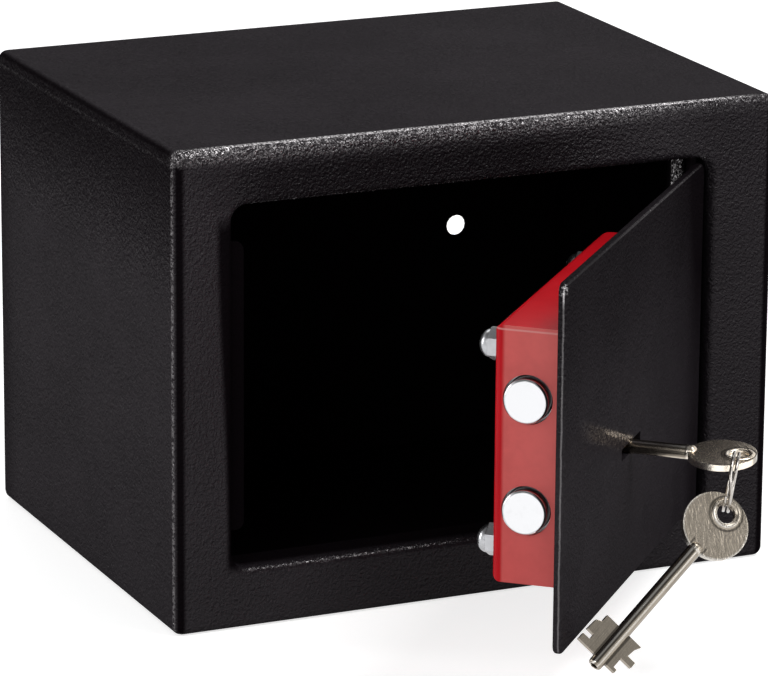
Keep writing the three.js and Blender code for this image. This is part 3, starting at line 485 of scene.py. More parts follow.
def door_rubbed(shader):
    """Painted highlights: a wandering line down the door's free edge, brighter at its top corner, and a
    faint line along its top edge. Bright specks are scattered over the top corner as well."""
    line_shine, uneven_shine, corner_shine, top_speck_shine = 0.09, 0.09, 0.5, 0.4
    top_shine, far_top_shine = 0.03, 0.08
    low, high = door_box("door_plate")
    along, inward, up = door_place(shader)
    from_edge, behind, below = along - low.x, inward - low.y, high.z - up
    wander = shader.noise(0.004, 2.0) * 0.0005
    line = (behind - wander).line(0.0007, 0.0004, 0.00015) * from_edge.fade(0.0012, 0.0006)
    shine = line_shine + uneven_shine * shader.noise(0.01, 3.0) + corner_shine * below.fade(0.009, 0.003)
    top = below.line(0.0005, 0.0005, 0.0002) * behind.fade(0.0008, 0.0004)
    top = top * (top_shine + far_top_shine * from_edge.fade(0.03, 0.12))
    top_specks = shader.noise(0.0011, 2.0, 0.6).fade(0.5, 0.6)
    top_specks = top_specks * below.fade(0.0045, 0.002) * from_edge.fade(0.0025, 0.001)
    return line * shine + top_specks * top_speck_shine + top


def door_dull(shader):
    """Painted shade: the door is darker towards its top and its hinge, and a little at its foot."""
    top_dark, top_corner_dark, hinge_dark, foot_dark, darkest = 0.5, 0.35, 0.45, 0.2, 0.9
    high = door_box("door_plate")[1]
    along, _, up = door_place(shader)
    from_hinge, below = high.x - along, high.z - up
    shade = below.fade(0.08, 0.0) * (top_dark + top_corner_dark * from_hinge.fade(0.06, 0.005))
    shade = shade + from_hinge.fade(0.024, 0.005) * hinge_dark + below.fade(0.08, 0.13) * foot_dark
    return shade.low(darkest)


def door_relief(shader):
    """The door's wrinkle bump and the painted light on its flanks show best on its upper half."""
    least_relief, upper_relief = 0.06, 0.35
    high = door_box("door_plate")[1]
    return least_relief + upper_relief * (high.z - shader.axis("Z")).fade(0.07, 0.01)


def door_scuff(shader):
    """A painted reflection of the key on the door's face beside the keyhole: a bright ridge in a dim
    skirt.
    """
    ridge_shine, skirt_shine = 0.6, 0.12
    drop, slope = 0.0062, 0.36
    low, high = door_box("key_rotor")
    keyhole = (low + high) / 2
    along, inward, up = door_place(shader)
    aside = keyhole.x - along
    height = up - keyhole.z + drop - slope * aside
    ridge = height.line(0, 0.0016, 0.0004) * aside.fade(0.046, 0.03) * ridge_shine
    skirt = height.band(-0.0065, -0.003, 0.0, 0.003) * aside.fade(0.075, 0.05) * skirt_shine
    face = (inward - door_box("door_plate")[0].y).fade(0.001, 0.0005)
    return (ridge + skirt) * aside.fade(0.0025, 0.004) * face


def red_coat():
    """Smooth red coat with painted light: a painted reflection makes the flat end where the bolts come
    out paler, most of all near the door, painted shade keeps its rear bend and foot darker, and a painted
    highlight runs along the end's top edge.
    """
    near_door_reflection, corner_highlight = (0.72, 0.2, 0.19), (0.72, 0.42, 0.4)
    near_share, foot_share, corner_share = 0.25, 0.2, 0.45
    coat = settings("safe_coat")
    shader = new_shader("red_powder")
    low, high = door_box("lock_cover")
    along, inward, up = door_place(shader)
    from_end, below = along - low.x, high.z - up
    patches = shader.noise(0.03, 3.0, 0.6)
    smudges = shader.noise(0.012, 3.0, 0.7).fade(0.35, 0.7)
    tone = shader.blend(
        patches.fade(0.3, 0.7), tinted(coat.cover_colour, 0.92), tinted(coat.cover_colour, 1.08))
    pale = shader.blend(smudges, coat.cover_end_reflection_colour, tinted(coat.cover_end_reflection_colour, 0.88))
    # Painted reflection: paler again near the door.
    pale = shader.blend((inward - low.y).fade(0.03, 0.0) * near_share, pale, near_door_reflection)
    # Painted shade: the paler end stops short of the rear bend and the foot, which stay darker.
    rear_bend = (high.y - inward).fade(0.0042, 0.0026)
    foot = (up - low.z).fade(0.05, 0.0) * foot_share
    end = from_end.fade(0.0004, 0.00005) * (1 - rear_bend - foot).high(0)
    # Painted highlight: a pale line along the top edge of the end.
    corner = below.line(0.0013, 0.0005, 0.0001) * from_end.fade(0.0028, 0.0016)
    tone = shader.blend(end, tone, pale)
    tone = shader.blend(corner * corner_share, tone, corner_highlight)
    normal = shader.bump(shader.noise(0.0022, 2.0) + 0.4 * patches, 0.00003)
    return shader.finish(
        Base_Color=tone, Roughness=0.18 + 0.1 * patches, Specular_IOR_Level=0.07, Normal=normal)


def metal(name, shade, roughness, grain, streak=(1, 1, 1), depth=0.00001):
    """Bare or plated metal: streak squeezes the grain along an axis, as brushing does."""
    shader = new_shader(name)
    brushed = shader.noise(grain, 4.0, 0.65, place=shader.mapped(scale=streak))
    patches = shader.noise(0.006, 3.0, 0.6)
    tone = shader.blend(patches.fade(0.35, 0.75) * 0.25, shade, tinted(shade, 0.55))
    tone = shader.blend(brushed.fade(0.4, 0.7) * 0.25, tone, tinted(shade, 1.25))
    return shader.finish(
        Base_Color=tone, Metallic=1.0, Roughness=roughness + 0.12 * patches,
        Normal=shader.bump(brushed, depth))


def turned(name, node, direction, shade, roughness):
    """Bright plating on a turned bar, with faint rings on its end and a dark line painted round its face
    as a painted reflection.
    """
    rings_per_metre = 4000
    shader = new_shader(name)
    low, high = door_box(node)
    radius = shader.around(DOOR_FRAME @ ((low + high) / 2), direction)
    rings = shader.node("ShaderNodeTexNoise", {"noise_dimensions": "1D"}, {
        "W": radius * rings_per_metre, "Scale": 1.0, "Detail": 3.0})
    scuffs = shader.noise(0.004, 4.0, 0.7)
    face_edge = (high.z - low.z) / 2 - settings("safe_piece").bolt_chamfer
    tone = shader.blend(scuffs.fade(0.5, 0.8) * 0.25, shade, tinted(shade, 0.7))
    # Painted reflection: a dark line where the face meets the chamfer.
    tone = shader.blend(radius.line(face_edge, 0.0003, 0.00008) * 0.4, tone, tinted(shade, 0.25))
    return shader.finish(
        Base_Color=tone, Metallic=1.0, Roughness=roughness + 0.08 * scuffs,
        Normal=shader.bump(rings * 0.5 + scuffs * 0.5, 0.00003, 0.6))


def key_metal(name, key):
    """Satin plating on a cast key, with painted light: wavy casting marks, painted highlights on the rims
    and collar, painted shade round the collar and where the shaft meets the bow, and a painted dark
    stripe and painted highlights along the shaft."""
    recess_gap, joint_gap, collar_inset = 0.0003, 0.0002, 0.0011
    dark_stripe_place, gleam_place, faint_gleam_place = -0.0003, -0.0011, 0.0008
    ripple_depth, fine_depth = 0.45, 0.12
    nickel = settings("safe_metal").nickel_colour
    sizes = settings("safe_piece")
    shaft_shine, bow_shine = KEY_PAINTED_SHINES[key]
    origin, turn = KEY_FRAMES[key]
    shader = new_shader(name)
    sideways, depth, along = (
        shader.along(Quaternion(turn) @ Vector(axis), origin)
        for axis in ((1, 0, 0), (0, 1, 0), (0, 0, 1)))

    aslant, across = along * 0.8 + sideways * 0.6, along * 0.6 - sideways * 0.8
    ripple = shader.noise(0.0008, 2.0, 0.5, 0.6, shader.joined(aslant, across * 0.22, depth))
    fine = shader.noise(0.0005, 3.0, 0.6, 0.0, shader.joined(sideways, depth, along * 0.03))
    patches = shader.noise(0.005, 3.0, 0.6)
    from_axis, half_shaft = abs(sideways), sizes.key_shaft / 2
    bow = sizes.key_shaft_length + sizes.key_bow / 2
    hole = bow + sizes.key_hole_offset
    from_bow, from_hole = (
        (sideways * sideways + (along - centre) * (along - centre)) ** 0.5 for centre in (bow, hole))
    on_bow = along.fade(sizes.key_shaft_length - 0.001, sizes.key_shaft_length)
    on_shaft = (1 - on_bow) * (1 - (from_axis - half_shaft).fade(0.0, 0.0002))

    # Painted light: each key's shaft and bow are painted brighter by their own amount, for how each is
    # lit.
    shade = tinted(nickel, shaft_shine)
    tone = shader.blend(on_bow, shade, tinted(nickel, bow_shine))
    tone = shader.blend(patches.fade(0.4, 0.75) * 0.4, tone, tinted(shade, 0.62))
    tone = shader.blend(ripple.fade(0.35, 0.65) * 0.15, tone, tinted(shade, 1.5))
    # Painted shade: a dark ring round the collar and a dark line where the shaft meets the bow.
    recess = from_hole.line(sizes.key_collar / 2 + recess_gap, 0.0006, 0.0001) * on_bow
    joint = from_axis.line(half_shaft + joint_gap, 0.0005, 0.0001) * along.fade(0.0005, 0.001)
    joint = joint * (along - sizes.key_shaft_length - sizes.key_shaft_head).fade(0.0006, 0.0)
    tone = shader.blend(recess.high(joint) * 0.8, tone, tinted(shade, 0.16))
    # Painted highlights: pale nickel on the collar, the bow's rim and the hole's mouth, fading towards
    # the bow's far end.
    collar = from_hole.line(sizes.key_collar / 2 - collar_inset, 0.0005, 0.0002)
    rim = (from_bow - sizes.key_bow / 2).fade(-0.0007, -0.0003) * 0.7
    mouth = (from_hole - sizes.key_hole / 2).fade(0.0008, 0.0004)
    far_end = (along - bow).fade(0.002, 0.008) * 0.9
    rubbed = collar.high(rim).high(mouth) * on_bow * (1 - far_end)
    tone = shader.blend(rubbed * 0.6, tone, HIGHLIGHT_NICKEL)
    tone = shader.blend(on_shaft * fine.fade(0.45, 0.6) * 0.5, tone, tinted(shade, 0.45))
    # Painted reflection: a dark stripe along the shaft, and painted shade on the shaft's edges.
    dark_stripe = sideways.line(dark_stripe_place, 0.0005, 0.0001).high(from_axis.fade(0.002, 0.0024))
    tone = shader.blend(on_shaft * dark_stripe * 0.75, tone, tinted(shade, 0.3))
    # Painted highlights: a bright line and a fainter one along the shaft.
    faint_gleam = sideways.line(faint_gleam_place, 0.0004, 0.0001) * 0.5
    gleam = sideways.line(gleam_place, 0.0006, 0.0001).high(faint_gleam)
    tone = shader.blend(on_shaft * gleam * 0.8, tone, HIGHLIGHT_NICKEL)
    normal = shader.bump(ripple * on_bow * ripple_depth + fine * (1 - on_bow) * fine_depth, 0.00022)
    return shader.finish(
        Base_Color=tone, Metallic=1.0, Roughness=0.11 + 0.09 * on_bow + 0.12 * patches, Normal=normal)


def door_box(node):
    """Lowest and highest corner of a node in the door's own frame."""
    inverse = DOOR_FRAME.inverted()
    points = [inverse @ vertex.co for vertex in frame["nodes"][node].data.vertices]
    return tuple(Vector([end(point[i] for point in points) for i in range(3)]) for end in (min, max))


def add_piece(name, bm, node, body, material, smooth_angle=35):
    """Makes a piece from a bmesh, with smooth faces up to an angle, and stands it for its node."""
    mesh = bpy.data.meshes.new(name)
    bm.to_mesh(mesh)
    bm.free()
    if "custom_normal" in mesh.attributes:
        mesh.attributes.remove(mesh.attributes["custom_normal"])
    mesh.shade_smooth()
    mesh.set_sharp_from_angle(angle=math.radians(smooth_angle))
    mesh.materials.clear()
    mesh.materials.append(material)
    piece = bpy.data.objects.new(name, mesh)
    bpy.context.scene.collection.objects.link(piece)
    weighted = piece.modifiers.new("weighted_normals", "WEIGHTED_NORMAL")
    weighted.keep_sharp = True
    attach(piece, body)
    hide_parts(node)
    return piece


def merged(node):
    """A copy of a node's mesh with its corners joined and its flat faces made whole."""
    bm = bmesh.new()
    bm.from_mesh(frame["nodes"][node].data)
    bmesh.ops.remove_doubles(bm, verts=bm.verts, dist=MERGE_DISTANCE)
    bmesh.ops.dissolve_limit(
        bm, angle_limit=math.radians(FLAT_DEGREES), verts=bm.verts, edges=bm.edges, delimit=set())
    return bm


def bevel(bm, edges, size, segments=3):
    bmesh.ops.bevel(
        bm, geom=edges, offset=size, offset_type="OFFSET", segments=segments, profile=0.5,
        affect="EDGES", clamp_overlap=True, material=-1)


def sharp(edges, degrees=40):
    return [edge for edge in edges
            if edge.is_manifold and edge.calc_face_angle(0) > math.radians(degrees)]


def lathe(bm, profile, axis=(0, 0, 1), across=(1, 0, 0), steps=64):
    """Spins a profile of (radius, distance along the axis) pairs into a closed round shape."""
    axis, across = Vector(axis), Vector(across)
    points = [bm.verts.new(axis * along + across * radius) for radius, along in profile]
    edges = [bm.edges.new(pair) for pair in zip(points, points[1:])]
    bmesh.ops.spin(
        bm, geom=points + edges, cent=(0, 0, 0), axis=axis, dvec=(0, 0, 0),
        angle=math.tau, steps=steps, use_merge=True, use_normal_flip=False, use_duplicate=False)
    bmesh.ops.remove_doubles(bm, verts=bm.verts, dist=MERGE_DISTANCE / 2)


def outward(bm):
    bmesh.ops.recalc_face_normals(bm, faces=bm.faces)


def placed(bm, matrix):
    bmesh.ops.transform(bm, matrix=matrix, verts=bm.verts)


def quarter_turn(steps):
    """Angles from nothing to a right angle."""
    return [step / steps * math.pi / 2 for step in range(steps + 1)]


def door_stand(centre, face):
    """Stands a shape that was made along +Z on the door, with its foot at face, pointing inwards."""
    return (DOOR_FRAME @ Matrix.Translation((centre.x, face, centre.z))
            @ Matrix.Rotation(-math.pi / 2, 4, "X"))


def stood(frame_values):
    """The place of a key or of the ring, from its position and its turn."""
    position, turn = frame_values
    return Matrix.Translation(position) @ Quaternion(turn).to_matrix().to_4x4()


class SAFE_OT_body(bpy.types.Operator):
    """Dress the body: its shell, back panel, keeper strip and hinge brackets"""
    bl_idname = "safe.body"
    bl_label = "Body"

    def execute(self, context):
        coat = settings("safe_coat")
        pieces = settings("safe_piece")
        # The outside coat carries painted highlights, painted shade and painted light on its wrinkle.
        outside = powder(
            "black_powder", coat.body_colour, rubbed=body_rubbed, dull=body_dull,
            glint=body_glint, relief=body_relief)
        # Painted shade: the inside coat is painted black except on the back panel's outer face.
        inside = powder("inner_powder_painted_shade", coat.body_colour, dull=back_dull)
        # Painted shade: the hinge brackets are darker and with less sheen, with a painted highlight on
        # the upper tab.
        fittings = powder(
            "fitting_powder_painted_shade", tinted(coat.body_colour, 0.4), sheen_share=0.3,
            glint=bracket_glint)
        add_piece("shell_skin", merged("body_shell"), "body_shell", "safe_body", outside)
        for node, material, edge_share in (
                ("back_panel", inside, 0.4), ("keeper_strip", inside, 1),
                ("hinge_bracket_upper", fittings, 1), ("hinge_bracket_lower", fittings, 1)):
            bm = merged(node)
            bevel(bm, sharp(bm.edges), pieces.sheet_edge * edge_share)
            add_piece(f"{node}_skin", bm, node, "safe_body", material)
        return {"FINISHED"}


class SAFE_OT_door(bpy.types.Operator):
    """Dress the door plate and its hinge rod"""
    bl_idname = "safe.door"
    bl_label = "Door"

    def execute(self, context):
        coat = settings("safe_coat")
        pieces = settings("safe_piece")
        # The door's coat carries painted highlights, a painted reflection of the key and painted shade.
        material = powder(
            "door_powder", coat.door_colour, depth_share=0.9, sheen_share=0.9,
            rubbed=door_rubbed, scuff=door_scuff, dull=door_dull, relief=door_relief)
        bm = merged("door_plate")
        bevel(bm, sharp(bm.edges), pieces.sheet_edge * 1.5, 4)
        add_piece("door_skin", bm, "door_plate", "door", material)
        low, high = door_box("hinge_rod")
        radius = (high.x - low.x) / 2
        chamfer = radius * 0.25
        bm = bmesh.new()
        lathe(bm, [(0, low.z), (radius - chamfer, low.z), (radius, low.z + chamfer),
                   (radius, high.z - chamfer), (radius - chamfer, high.z), (0, high.z)], steps=32)
        outward(bm)
        placed(bm, DOOR_FRAME)
        add_piece("hinge_rod_skin", bm, "hinge_rod", "door", material)
        return {"FINISHED"}


class SAFE_OT_lock_cover(bpy.types.Operator):
    """Dress the red lock cover on the door's back"""
    bl_idname = "safe.lock_cover"
    bl_label = "Lock cover"

    def execute(self, context):
        bm = merged("lock_cover")
        bevel(bm, sharp(bm.edges), settings("safe_piece").sheet_edge * 0.6)
        add_piece("lock_cover_skin", bm, "lock_cover", "door", red_coat())
        return {"FINISHED"}


class SAFE_OT_bolts(bpy.types.Operator):
    """Make the two round bolts with their chamfered ends"""
    bl_idname = "safe.bolts"
    bl_label = "Bolts"

    def execute(self, context):
        chamfer = settings("safe_piece").bolt_chamfer
        crown = chamfer * 0.15
        rounding = chamfer * 0.3
        for node in ("bolt_lower", "bolt_upper"):
            low, high = door_box(node)
            radius = (high.z - low.z) / 2
            profile = [(0, low.x - crown), (radius * 0.5, low.x - crown * 0.7), (radius - chamfer, low.x)]
            profile += [(radius, low.x + chamfer), (radius, high.x - rounding)]
            profile += [(radius - rounding, high.x), (0, high.x)]
            bm = bmesh.new()
            lathe(bm, profile, axis=(1, 0, 0), across=(0, 0, 1), steps=72)
            outward(bm)
            bevel(bm, sharp(bm.edges, 20), rounding * 0.5, 2)
            placed(bm, DOOR_FRAME @ Matrix.Translation((0, (low.y + high.y) / 2, (low.z + high.z) / 2)))
            material = turned(
                f"{node}_chrome", node, DOOR_ALONG, settings("safe_metal").chrome_colour, 0.1)
            add_piece(f"{node}_skin", bm, node, "bolts", material, 50)
        return {"FINISHED"}


class SAFE_OT_nuts(bpy.types.Operator):
    """Make the four domed hexagon nuts on the lock cover"""
    bl_idname = "safe.nuts"
    bl_label = "Domed nuts"

    def execute(self, context):
        pieces = settings("safe_piece")
        material = metal("nut_zinc", settings("safe_metal").zinc_colour, 0.22, 0.002)
        hexagon = pieces.nut_hexagon
        corner = pieces.nut_width / 2 / math.cos(math.pi / 6)
        top_edge, side_edge = corner * 0.1, corner * 0.03
        shoulder = pieces.nut_width / 2 * 0.94
        for number in range(1, 5):
            node = f"cap_nut_{number}"
            low, high = door_box(node)
            rise = (high.y - low.y) - hexagon
            bm = bmesh.new()
            bmesh.ops.create_cone(
                bm, cap_ends=True, segments=6, radius1=corner, radius2=corner, depth=hexagon)
            bmesh.ops.translate(bm, verts=bm.verts, vec=(0, 0, hexagon / 2))
            top = [edge for edge in bm.edges if all(v.co.z > hexagon * 0.9 for v in edge.verts)]
            bevel(bm, top, top_edge, 2)
            bevel(bm, sharp(bm.edges, 50), side_edge, 2)
            dome = [(shoulder * math.cos(angle), hexagon + rise * math.sin(angle))
                    for angle in quarter_turn(10)]
            lathe(bm, [(0, hexagon / 2), (shoulder, hexagon / 2)] + dome, steps=40)
            outward(bm)
            placed(bm, door_stand((low + high) / 2, low.y))
            add_piece(f"{node}_skin", bm, node, "door", material)
        return {"FINISHED"}


class SAFE_OT_lock_cap(bpy.types.Operator):
    """Make the drawn cap over the lock's back"""
    bl_idname = "safe.lock_cap"
    bl_label = "Lock cap"

    def execute(self, context):
        low, high = door_box("lock_back_cap")
        radius = (high.x - low.x) / 2
        depth = high.y - low.y
        flange, flange_width, rounding, wall = 0.0014, 0.0024, 0.0012, 0.0012
        cup = radius - flange_width
        soft = rounding / 3
        profile = [(cup - wall, 0), (radius - soft, 0), (radius, soft), (radius, flange - soft)]
        profile += [(radius - soft, flange), (cup + rounding / 2, flange), (cup, flange + rounding / 2)]
        profile += [
            (cup - rounding * (1 - math.cos(angle)), depth - rounding * (1 - math.sin(angle)))
            for angle in quarter_turn(5)]
        profile += [(0, depth), (0, depth - wall), (cup - wall, depth - wall), (cup - wall, 0)]
        bm = bmesh.new()
        lathe(bm, profile, steps=64)
        outward(bm)
        placed(bm, door_stand((low + high) / 2, low.y))
        material = metal("cap_zinc", settings("safe_metal").zinc_colour, 0.3, 0.001)
        add_piece("lock_cap_skin", bm, "lock_back_cap", "door", material)
        return {"FINISHED"}


def key_shape(bm):
    """One key at its own origin: tip bore, shaft, double bit, bow with a raised collar."""
    sizes = settings("safe_piece")
    radius = sizes.key_shaft / 2
    bore = sizes.key_bore / 2
    end = sizes.key_shaft_length + sizes.key_shaft_head
    head = radius * 0.8
    bore_depth, drill_tip, bore_lip, nose = 0.0055, 0.0005, 0.0003, 0.001
    profile = [(0, bore_depth + drill_tip), (bore, bore_depth), (bore, bore_lip)]
    profile += [(bore + bore_lip * 2 / 3, 0), (radius - nose * 0.7, 0)]
    profile += [(radius - nose * 0.2, nose * 0.4), (radius, nose)]
    profile += [
        (radius * math.cos(angle), end - head * (1 - math.sin(angle))) for angle in quarter_turn(6)]
    lathe(bm, profile, steps=40)
    key_bit(bm, sizes)
    key_bow(bm, sizes)
    outward(bm)


def key_bit(bm, sizes):
    """A double bit cut from plate, its outline pushed to its thickness."""
    half = sizes.key_bit_width / 2
    corners = [
        bm.verts.new((across * half, -sizes.key_bit_thickness / 2,
                      sizes.key_bit_start + along * sizes.key_bit_length))
        for across, along in BIT_OUTLINE]
    face = bm.faces.new(corners)
    pushed = bmesh.ops.extrude_face_region(bm, geom=[face], use_keep_orig=True)["geom"]
    moved = [item for item in pushed if isinstance(item, bmesh.types.BMVert)]
    bmesh.ops.translate(bm, verts=moved, vec=(0, sizes.key_bit_thickness, 0))
    rims = sharp({edge for vertex in corners + moved for edge in vertex.link_edges}, 30)
    bevel(bm, rims, sizes.key_bit_thickness * 0.09, 2)


def key_bow(bm, sizes):
    """A round bow with a hole near its far end and a collar that stands up round the hole."""
    thickness = sizes.key_bow_thickness
    centre = sizes.key_shaft_length + sizes.key_bow / 2
    hole = centre + sizes.key_hole_offset
    start = len(bm.verts)
    lay_flat = Matrix.Rotation(math.pi / 2, 4, "X")
    loops = []
    for radius, height in ((sizes.key_bow / 2, centre), (sizes.key_hole / 2, hole)):
        place = Matrix.Translation((0, -thickness / 2, height)) @ lay_flat
        made = bmesh.ops.create_circle(bm, cap_ends=False, segments=64, radius=radius, matrix=place)
        loops.append(list({edge for vertex in made["verts"] for edge in vertex.link_edges}))
    annulus = bmesh.ops.bridge_loops(bm, edges=loops[0] + loops[1])["faces"]
    pushed = bmesh.ops.extrude_face_region(bm, geom=annulus, use_keep_orig=True)["geom"]
    moved = [item for item in pushed if isinstance(item, bmesh.types.BMVert)]
    bmesh.ops.translate(bm, verts=moved, vec=(0, thickness, 0))
    bm.verts.ensure_lookup_table()
    own = set(bm.verts[start:])
    rims = sharp([edge for edge in bm.edges if set(edge.verts) <= own], 46)
    bevel(bm, rims, thickness * 0.18)
    overlap, rounding = 0.0001, 0.0007
    inner = sizes.key_hole / 2 - overlap
    outer = sizes.key_collar / 2
    top = thickness / 2 + sizes.key_collar_rise
    upper = [(inner, 0), (inner, top - rounding * 1.3), (inner + rounding * 0.6, top - rounding * 0.4)]
    upper += [(inner + rounding * 1.4, top), (outer - rounding * 1.2, top)]
    upper += [(outer - rounding * 0.5, top - rounding * 0.25), (outer, top - rounding)]
    profile = upper + [(radius, -height) for radius, height in reversed(upper)]
    collar = bmesh.new()
    lathe(collar, profile, steps=56)
    placed(collar, Matrix.Translation((0, 0, hole)) @ lay_flat)
    spare = bpy.data.meshes.new("collar")
    collar.to_mesh(spare)
    collar.free()
    bm.from_mesh(spare)
    bpy.data.meshes.remove(spare)


class SAFE_OT_keys(bpy.types.Operator):
    """Make the key in the lock and the spare key that hangs on the ring"""
    bl_idname = "safe.keys"
    bl_label = "Keys"

    def execute(self, context):
        for node, body in (("key_1", "lock_key"), ("key_2", "spare_key")):
            bm = bmesh.new()
            key_shape(bm)
            placed(bm, stood(KEY_FRAMES[node]))
            material = key_metal(f"{node}_nickel", node)
            add_piece(f"{node}_skin", bm, node, body, material, 40)
        return {"FINISHED"}


class SAFE_OT_ring(bpy.types.Operator):
    """Make the split ring from one wire of nearly two turns"""
    bl_idname = "safe.ring"
    bl_label = "Split ring"

    def execute(self, context):
        sizes = settings("safe_piece")
        jog_degrees, start_degrees, flat_steps, jog_steps = 50, 205, 60, 12
        bm = bmesh.new()
        section = bmesh.ops.create_circle(
            bm, cap_ends=False, segments=14, radius=sizes.ring_wire / 2,
            matrix=Matrix.Translation((sizes.ring_radius, 0, -sizes.ring_pitch / 2))
            @ Matrix.Rotation(math.pi / 2, 4, "X"))["verts"]
        bmesh.ops.rotate(
            bm, verts=section, cent=(0, 0, 0),
            matrix=Matrix.Rotation(math.radians(start_degrees), 3, "Z"))
        geometry = section + list({edge for vertex in section for edge in vertex.link_edges})
        # Each sweep is an angle in degrees, its steps, and how far the wire moves aside in it.
        level_turn = (360 - jog_degrees, flat_steps, 0)
        eased = [step / jog_steps for step in range(jog_steps + 1)]
        eased = [value * value * (3 - 2 * value) for value in eased]
        jog = [(jog_degrees / jog_steps, 1, (end - start) * sizes.ring_pitch)
               for start, end in zip(eased, eased[1:])]
        sweeps = [level_turn, *jog, level_turn]
        for angle, steps, rise in sweeps:
            geometry = bmesh.ops.spin(
                bm, geom=geometry, cent=(0, 0, 0), axis=(0, 0, 1), dvec=(0, 0, rise),
                angle=math.radians(angle), steps=steps, use_merge=False,
                use_normal_flip=False, use_duplicate=False)["geom_last"]
        open_edges = [edge for edge in bm.edges if edge.is_boundary]
        bmesh.ops.holes_fill(bm, edges=open_edges, sides=0)
        outward(bm)
        ends = [edge for edge in open_edges if edge.is_valid]
        bevel(bm, ends, sizes.ring_wire * 0.12, 2)
        placed(bm, stood(RING_FRAME))
        material = metal("ring_zinc", settings("safe_metal").ring_colour, 0.14, 0.0015)
        add_piece("split_ring_skin", bm, "split_ring", "ring", material, 50)
        return {"FINISHED"}


class SAFE_OT_lock_parts(bpy.types.Operator):
    """Give the pieces inside the lock their metals"""
    bl_idname = "safe.lock_parts"
    bl_label = "Lock parts"

    def execute(self, context):
        metals = settings("safe_metal")
        zinc = metal("zinc_plate", metals.zinc_colour, 0.32, 0.001)
        steel = metal("pressed_steel", metals.steel_colour, 0.38, 0.001, (1, 1, 12), 0.00002)
        brass = metal("turned_brass", metals.brass_colour, 0.3, 0.0008, (1, 12, 1))
        for material, nodes in (
                (zinc, ("lock_plate", *(f"cover_stud_{number}" for number in range(1, 5)))),
                (steel, ("bolt_guide", "lock_pillar_lower", "lock_pillar_upper", "lever_post",
                         "lever_spring", "bolt_carriage", "follower_pin", "gate_stump", "rotor_circlip")),
                (brass, ("rotor_bearing", "key_rotor", "lever_1", "lever_2", "lever_3"))):
            for node in nodes:
                for slot in frame["nodes"][node].material_slots:
                    slot.material = material
        return {"FINISHED"}


class SAFE_OT_stage(bpy.types.Operator):
    """Make the pale floor, the soft lights, the white surroundings and the camera"""
    bl_idname = "safe.stage"
    bl_label = "Stage"

    def execute(self, context):
        make_floor()
        make_world(context.scene)
        make_lights()
        make_camera(context.scene)
        context.scene.view_settings.view_transform = "Standard"
        return {"FINISHED"}


def background_ray(shader):
    """1 for the rays that see the background: camera, glossy and transmitted ones."""
    seen = [shader.node("ShaderNodeLightPath", None, None, name)
            for name in ("Is Camera Ray", "Is Glossy Ray", "Is Transmission Ray")]
    return seen[0].high(seen[1]).high(seen[2])


def make_floor():
    """A pale floor that is white to the camera and keeps the safe's soft shadow."""
    grey, glow_strength, half_size = 0.7, 0.66, 6
    bm = bmesh.new()
    bmesh.ops.create_grid(bm, x_segments=1, y_segments=1, size=half_size)
    mesh = bpy.data.meshes.new("floor")
    bm.to_mesh(mesh)
    bm.free()
    floor = bpy.data.objects.new("floor", mesh)
    bpy.context.scene.collection.objects.link(floor)
    shader = new_shader("pale_floor")
    lit = shader.node("ShaderNodeBsdfDiffuse", None, {"Color": (grey, grey, grey, 1)})
    glow = shader.node("ShaderNodeEmission", None, {
        "Color": (1, 1, 1, 1), "Strength": background_ray(shader) * glow_strength})
    both = shader.node("ShaderNodeAddShader", None, {0: lit, 1: glow})
    mesh.materials.append(shader.output(both))


def make_world(scene):
    """White surroundings whose sky darkens with height, and a plain weaker light for the rest."""
    ambient, zenith = 0.45, 0.22
    world = bpy.data.worlds.new("white_studio")
    shader = Shader(world, "Generated")
    sky = 1 - shader.axis("Z").fade(0.38, 0.75) * (1 - zenith)
    seen = background_ray(shader)
    strength = seen * sky + (1 - seen) * ambient
    light = shader.node("ShaderNodeBackground", None, {"Color": (1, 1, 1, 1), "Strength": strength})
    shader.node("ShaderNodeOutputWorld", None, {"Surface": light})
    scene.world = world


def make_lights():
    """Five soft boxes, each aimed at the safe's middle."""
    target = Vector((0, -0.05, 0.09))
    # Name, place, width and depth in metres, and power in watts.
    boxes = (
        ("overhead_light", (0.45, -0.45, 1.15), 0.45, 0.45, 6.5),
        ("left_strip_light", (-1.2, 0.65, 0.35), 0.25, 0.7, 5),
        ("left_front_light", (-1.1, -1.1, 0.8), 0.8, 0.8, 6),
        ("right_front_light", (1.2, -1.2, 0.7), 0.7, 0.7, 5),
        ("back_light", (0.3, 1.3, 1.4), 1.0, 0.6, 6),
    )
    for name, place, width, depth, power in boxes:
        data = bpy.data.lights.new(name, "AREA")
        data.shape = "RECTANGLE"
        data.size = width
        data.size_y = depth
        data.energy = power
        lamp = bpy.data.objects.new(name, data)
        lamp.location = place
        lamp.rotation_mode = "QUATERNION"
        lamp.rotation_quaternion = (target - Vector(place)).to_track_quat("-Z", "Y")
        bpy.context.scene.collection.objects.link(lamp)


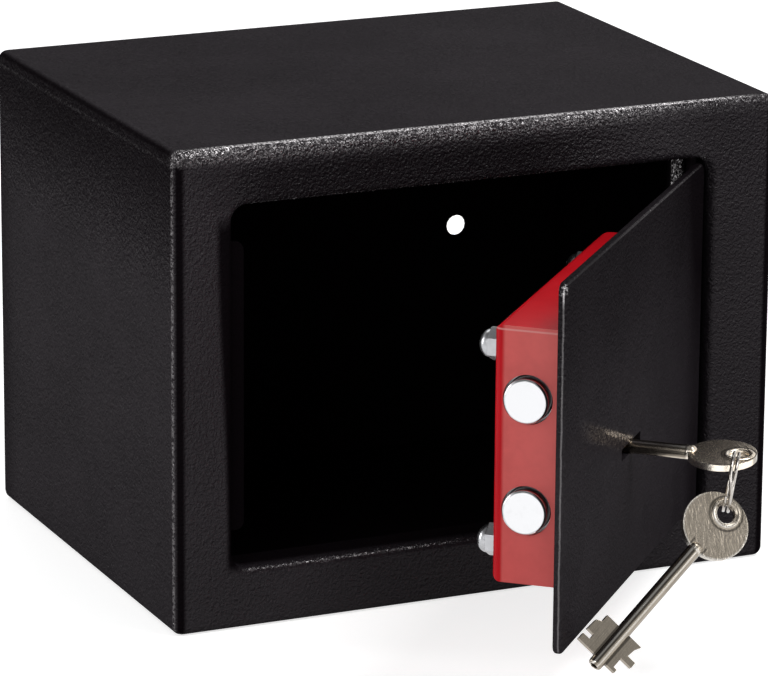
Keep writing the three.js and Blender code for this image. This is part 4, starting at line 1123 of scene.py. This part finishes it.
def make_camera(scene):
    """The photograph's viewpoint: 24.3 degrees from the front and 16 degrees above."""
    azimuth, drop, roll = math.radians(24.3), math.radians(15.95), math.radians(0.42)
    data = bpy.data.cameras.new("camera")
    data.sensor_width = 36
    data.lens = 230.9
    data.clip_start = 0.1
    data.clip_end = 50
    camera = bpy.data.objects.new("camera", data)
    camera.location = (-0.71047, -1.57881, 0.56685)
    looking = Vector((
        math.sin(azimuth) * math.cos(drop), math.cos(azimuth) * math.cos(drop), -math.sin(drop)))
    turn = looking.to_track_quat("-Z", "Y") @ Quaternion((0, 0, 1), roll)
    camera.rotation_mode = "QUATERNION"
    camera.rotation_quaternion = turn
    scene.collection.objects.link(camera)
    scene.camera = camera


OPERATORS = (
    SAFE_OT_body, SAFE_OT_door, SAFE_OT_lock_cover, SAFE_OT_bolts, SAFE_OT_nuts, SAFE_OT_lock_cap,
    SAFE_OT_keys, SAFE_OT_ring, SAFE_OT_lock_parts, SAFE_OT_stage)
GROUPS = {
    "safe_coat": SafeCoatSettings, "safe_metal": SafeMetalSettings, "safe_piece": SafePieceSettings}


class SAFE_PT_panel(bpy.types.Panel):
    """Sizes, colours and pieces of the safe"""
    bl_label = "Safe"
    bl_idname = "SAFE_PT_panel"
    bl_space_type = "VIEW_3D"
    bl_region_type = "UI"
    bl_category = "Safe"

    def draw(self, context):
        layout = self.layout
        for group in GROUPS:
            box = layout.box()
            values = getattr(context.scene, group)
            for name in values.bl_rna.properties.keys():
                if name not in ("rna_type", "name"):
                    box.prop(values, name)
        for operator in OPERATORS:
            layout.operator(operator.bl_idname)


def register():
    for group in GROUPS.values():
        bpy.utils.register_class(group)
    for name, group in GROUPS.items():
        setattr(bpy.types.Scene, name, PointerProperty(type=group))
    for cls in (*OPERATORS, SAFE_PT_panel):
        bpy.utils.register_class(cls)


def unregister():
    for cls in reversed((*OPERATORS, SAFE_PT_panel)):
        bpy.utils.unregister_class(cls)
    for name in GROUPS:
        delattr(bpy.types.Scene, name)
    for group in reversed(tuple(GROUPS.values())):
        bpy.utils.unregister_class(group)


def main():
    register()
    for operator in OPERATORS:
        name = operator.bl_idname.split(".")[1]
        getattr(bpy.ops.safe, name)()


if __name__ == "__main__":
    main()
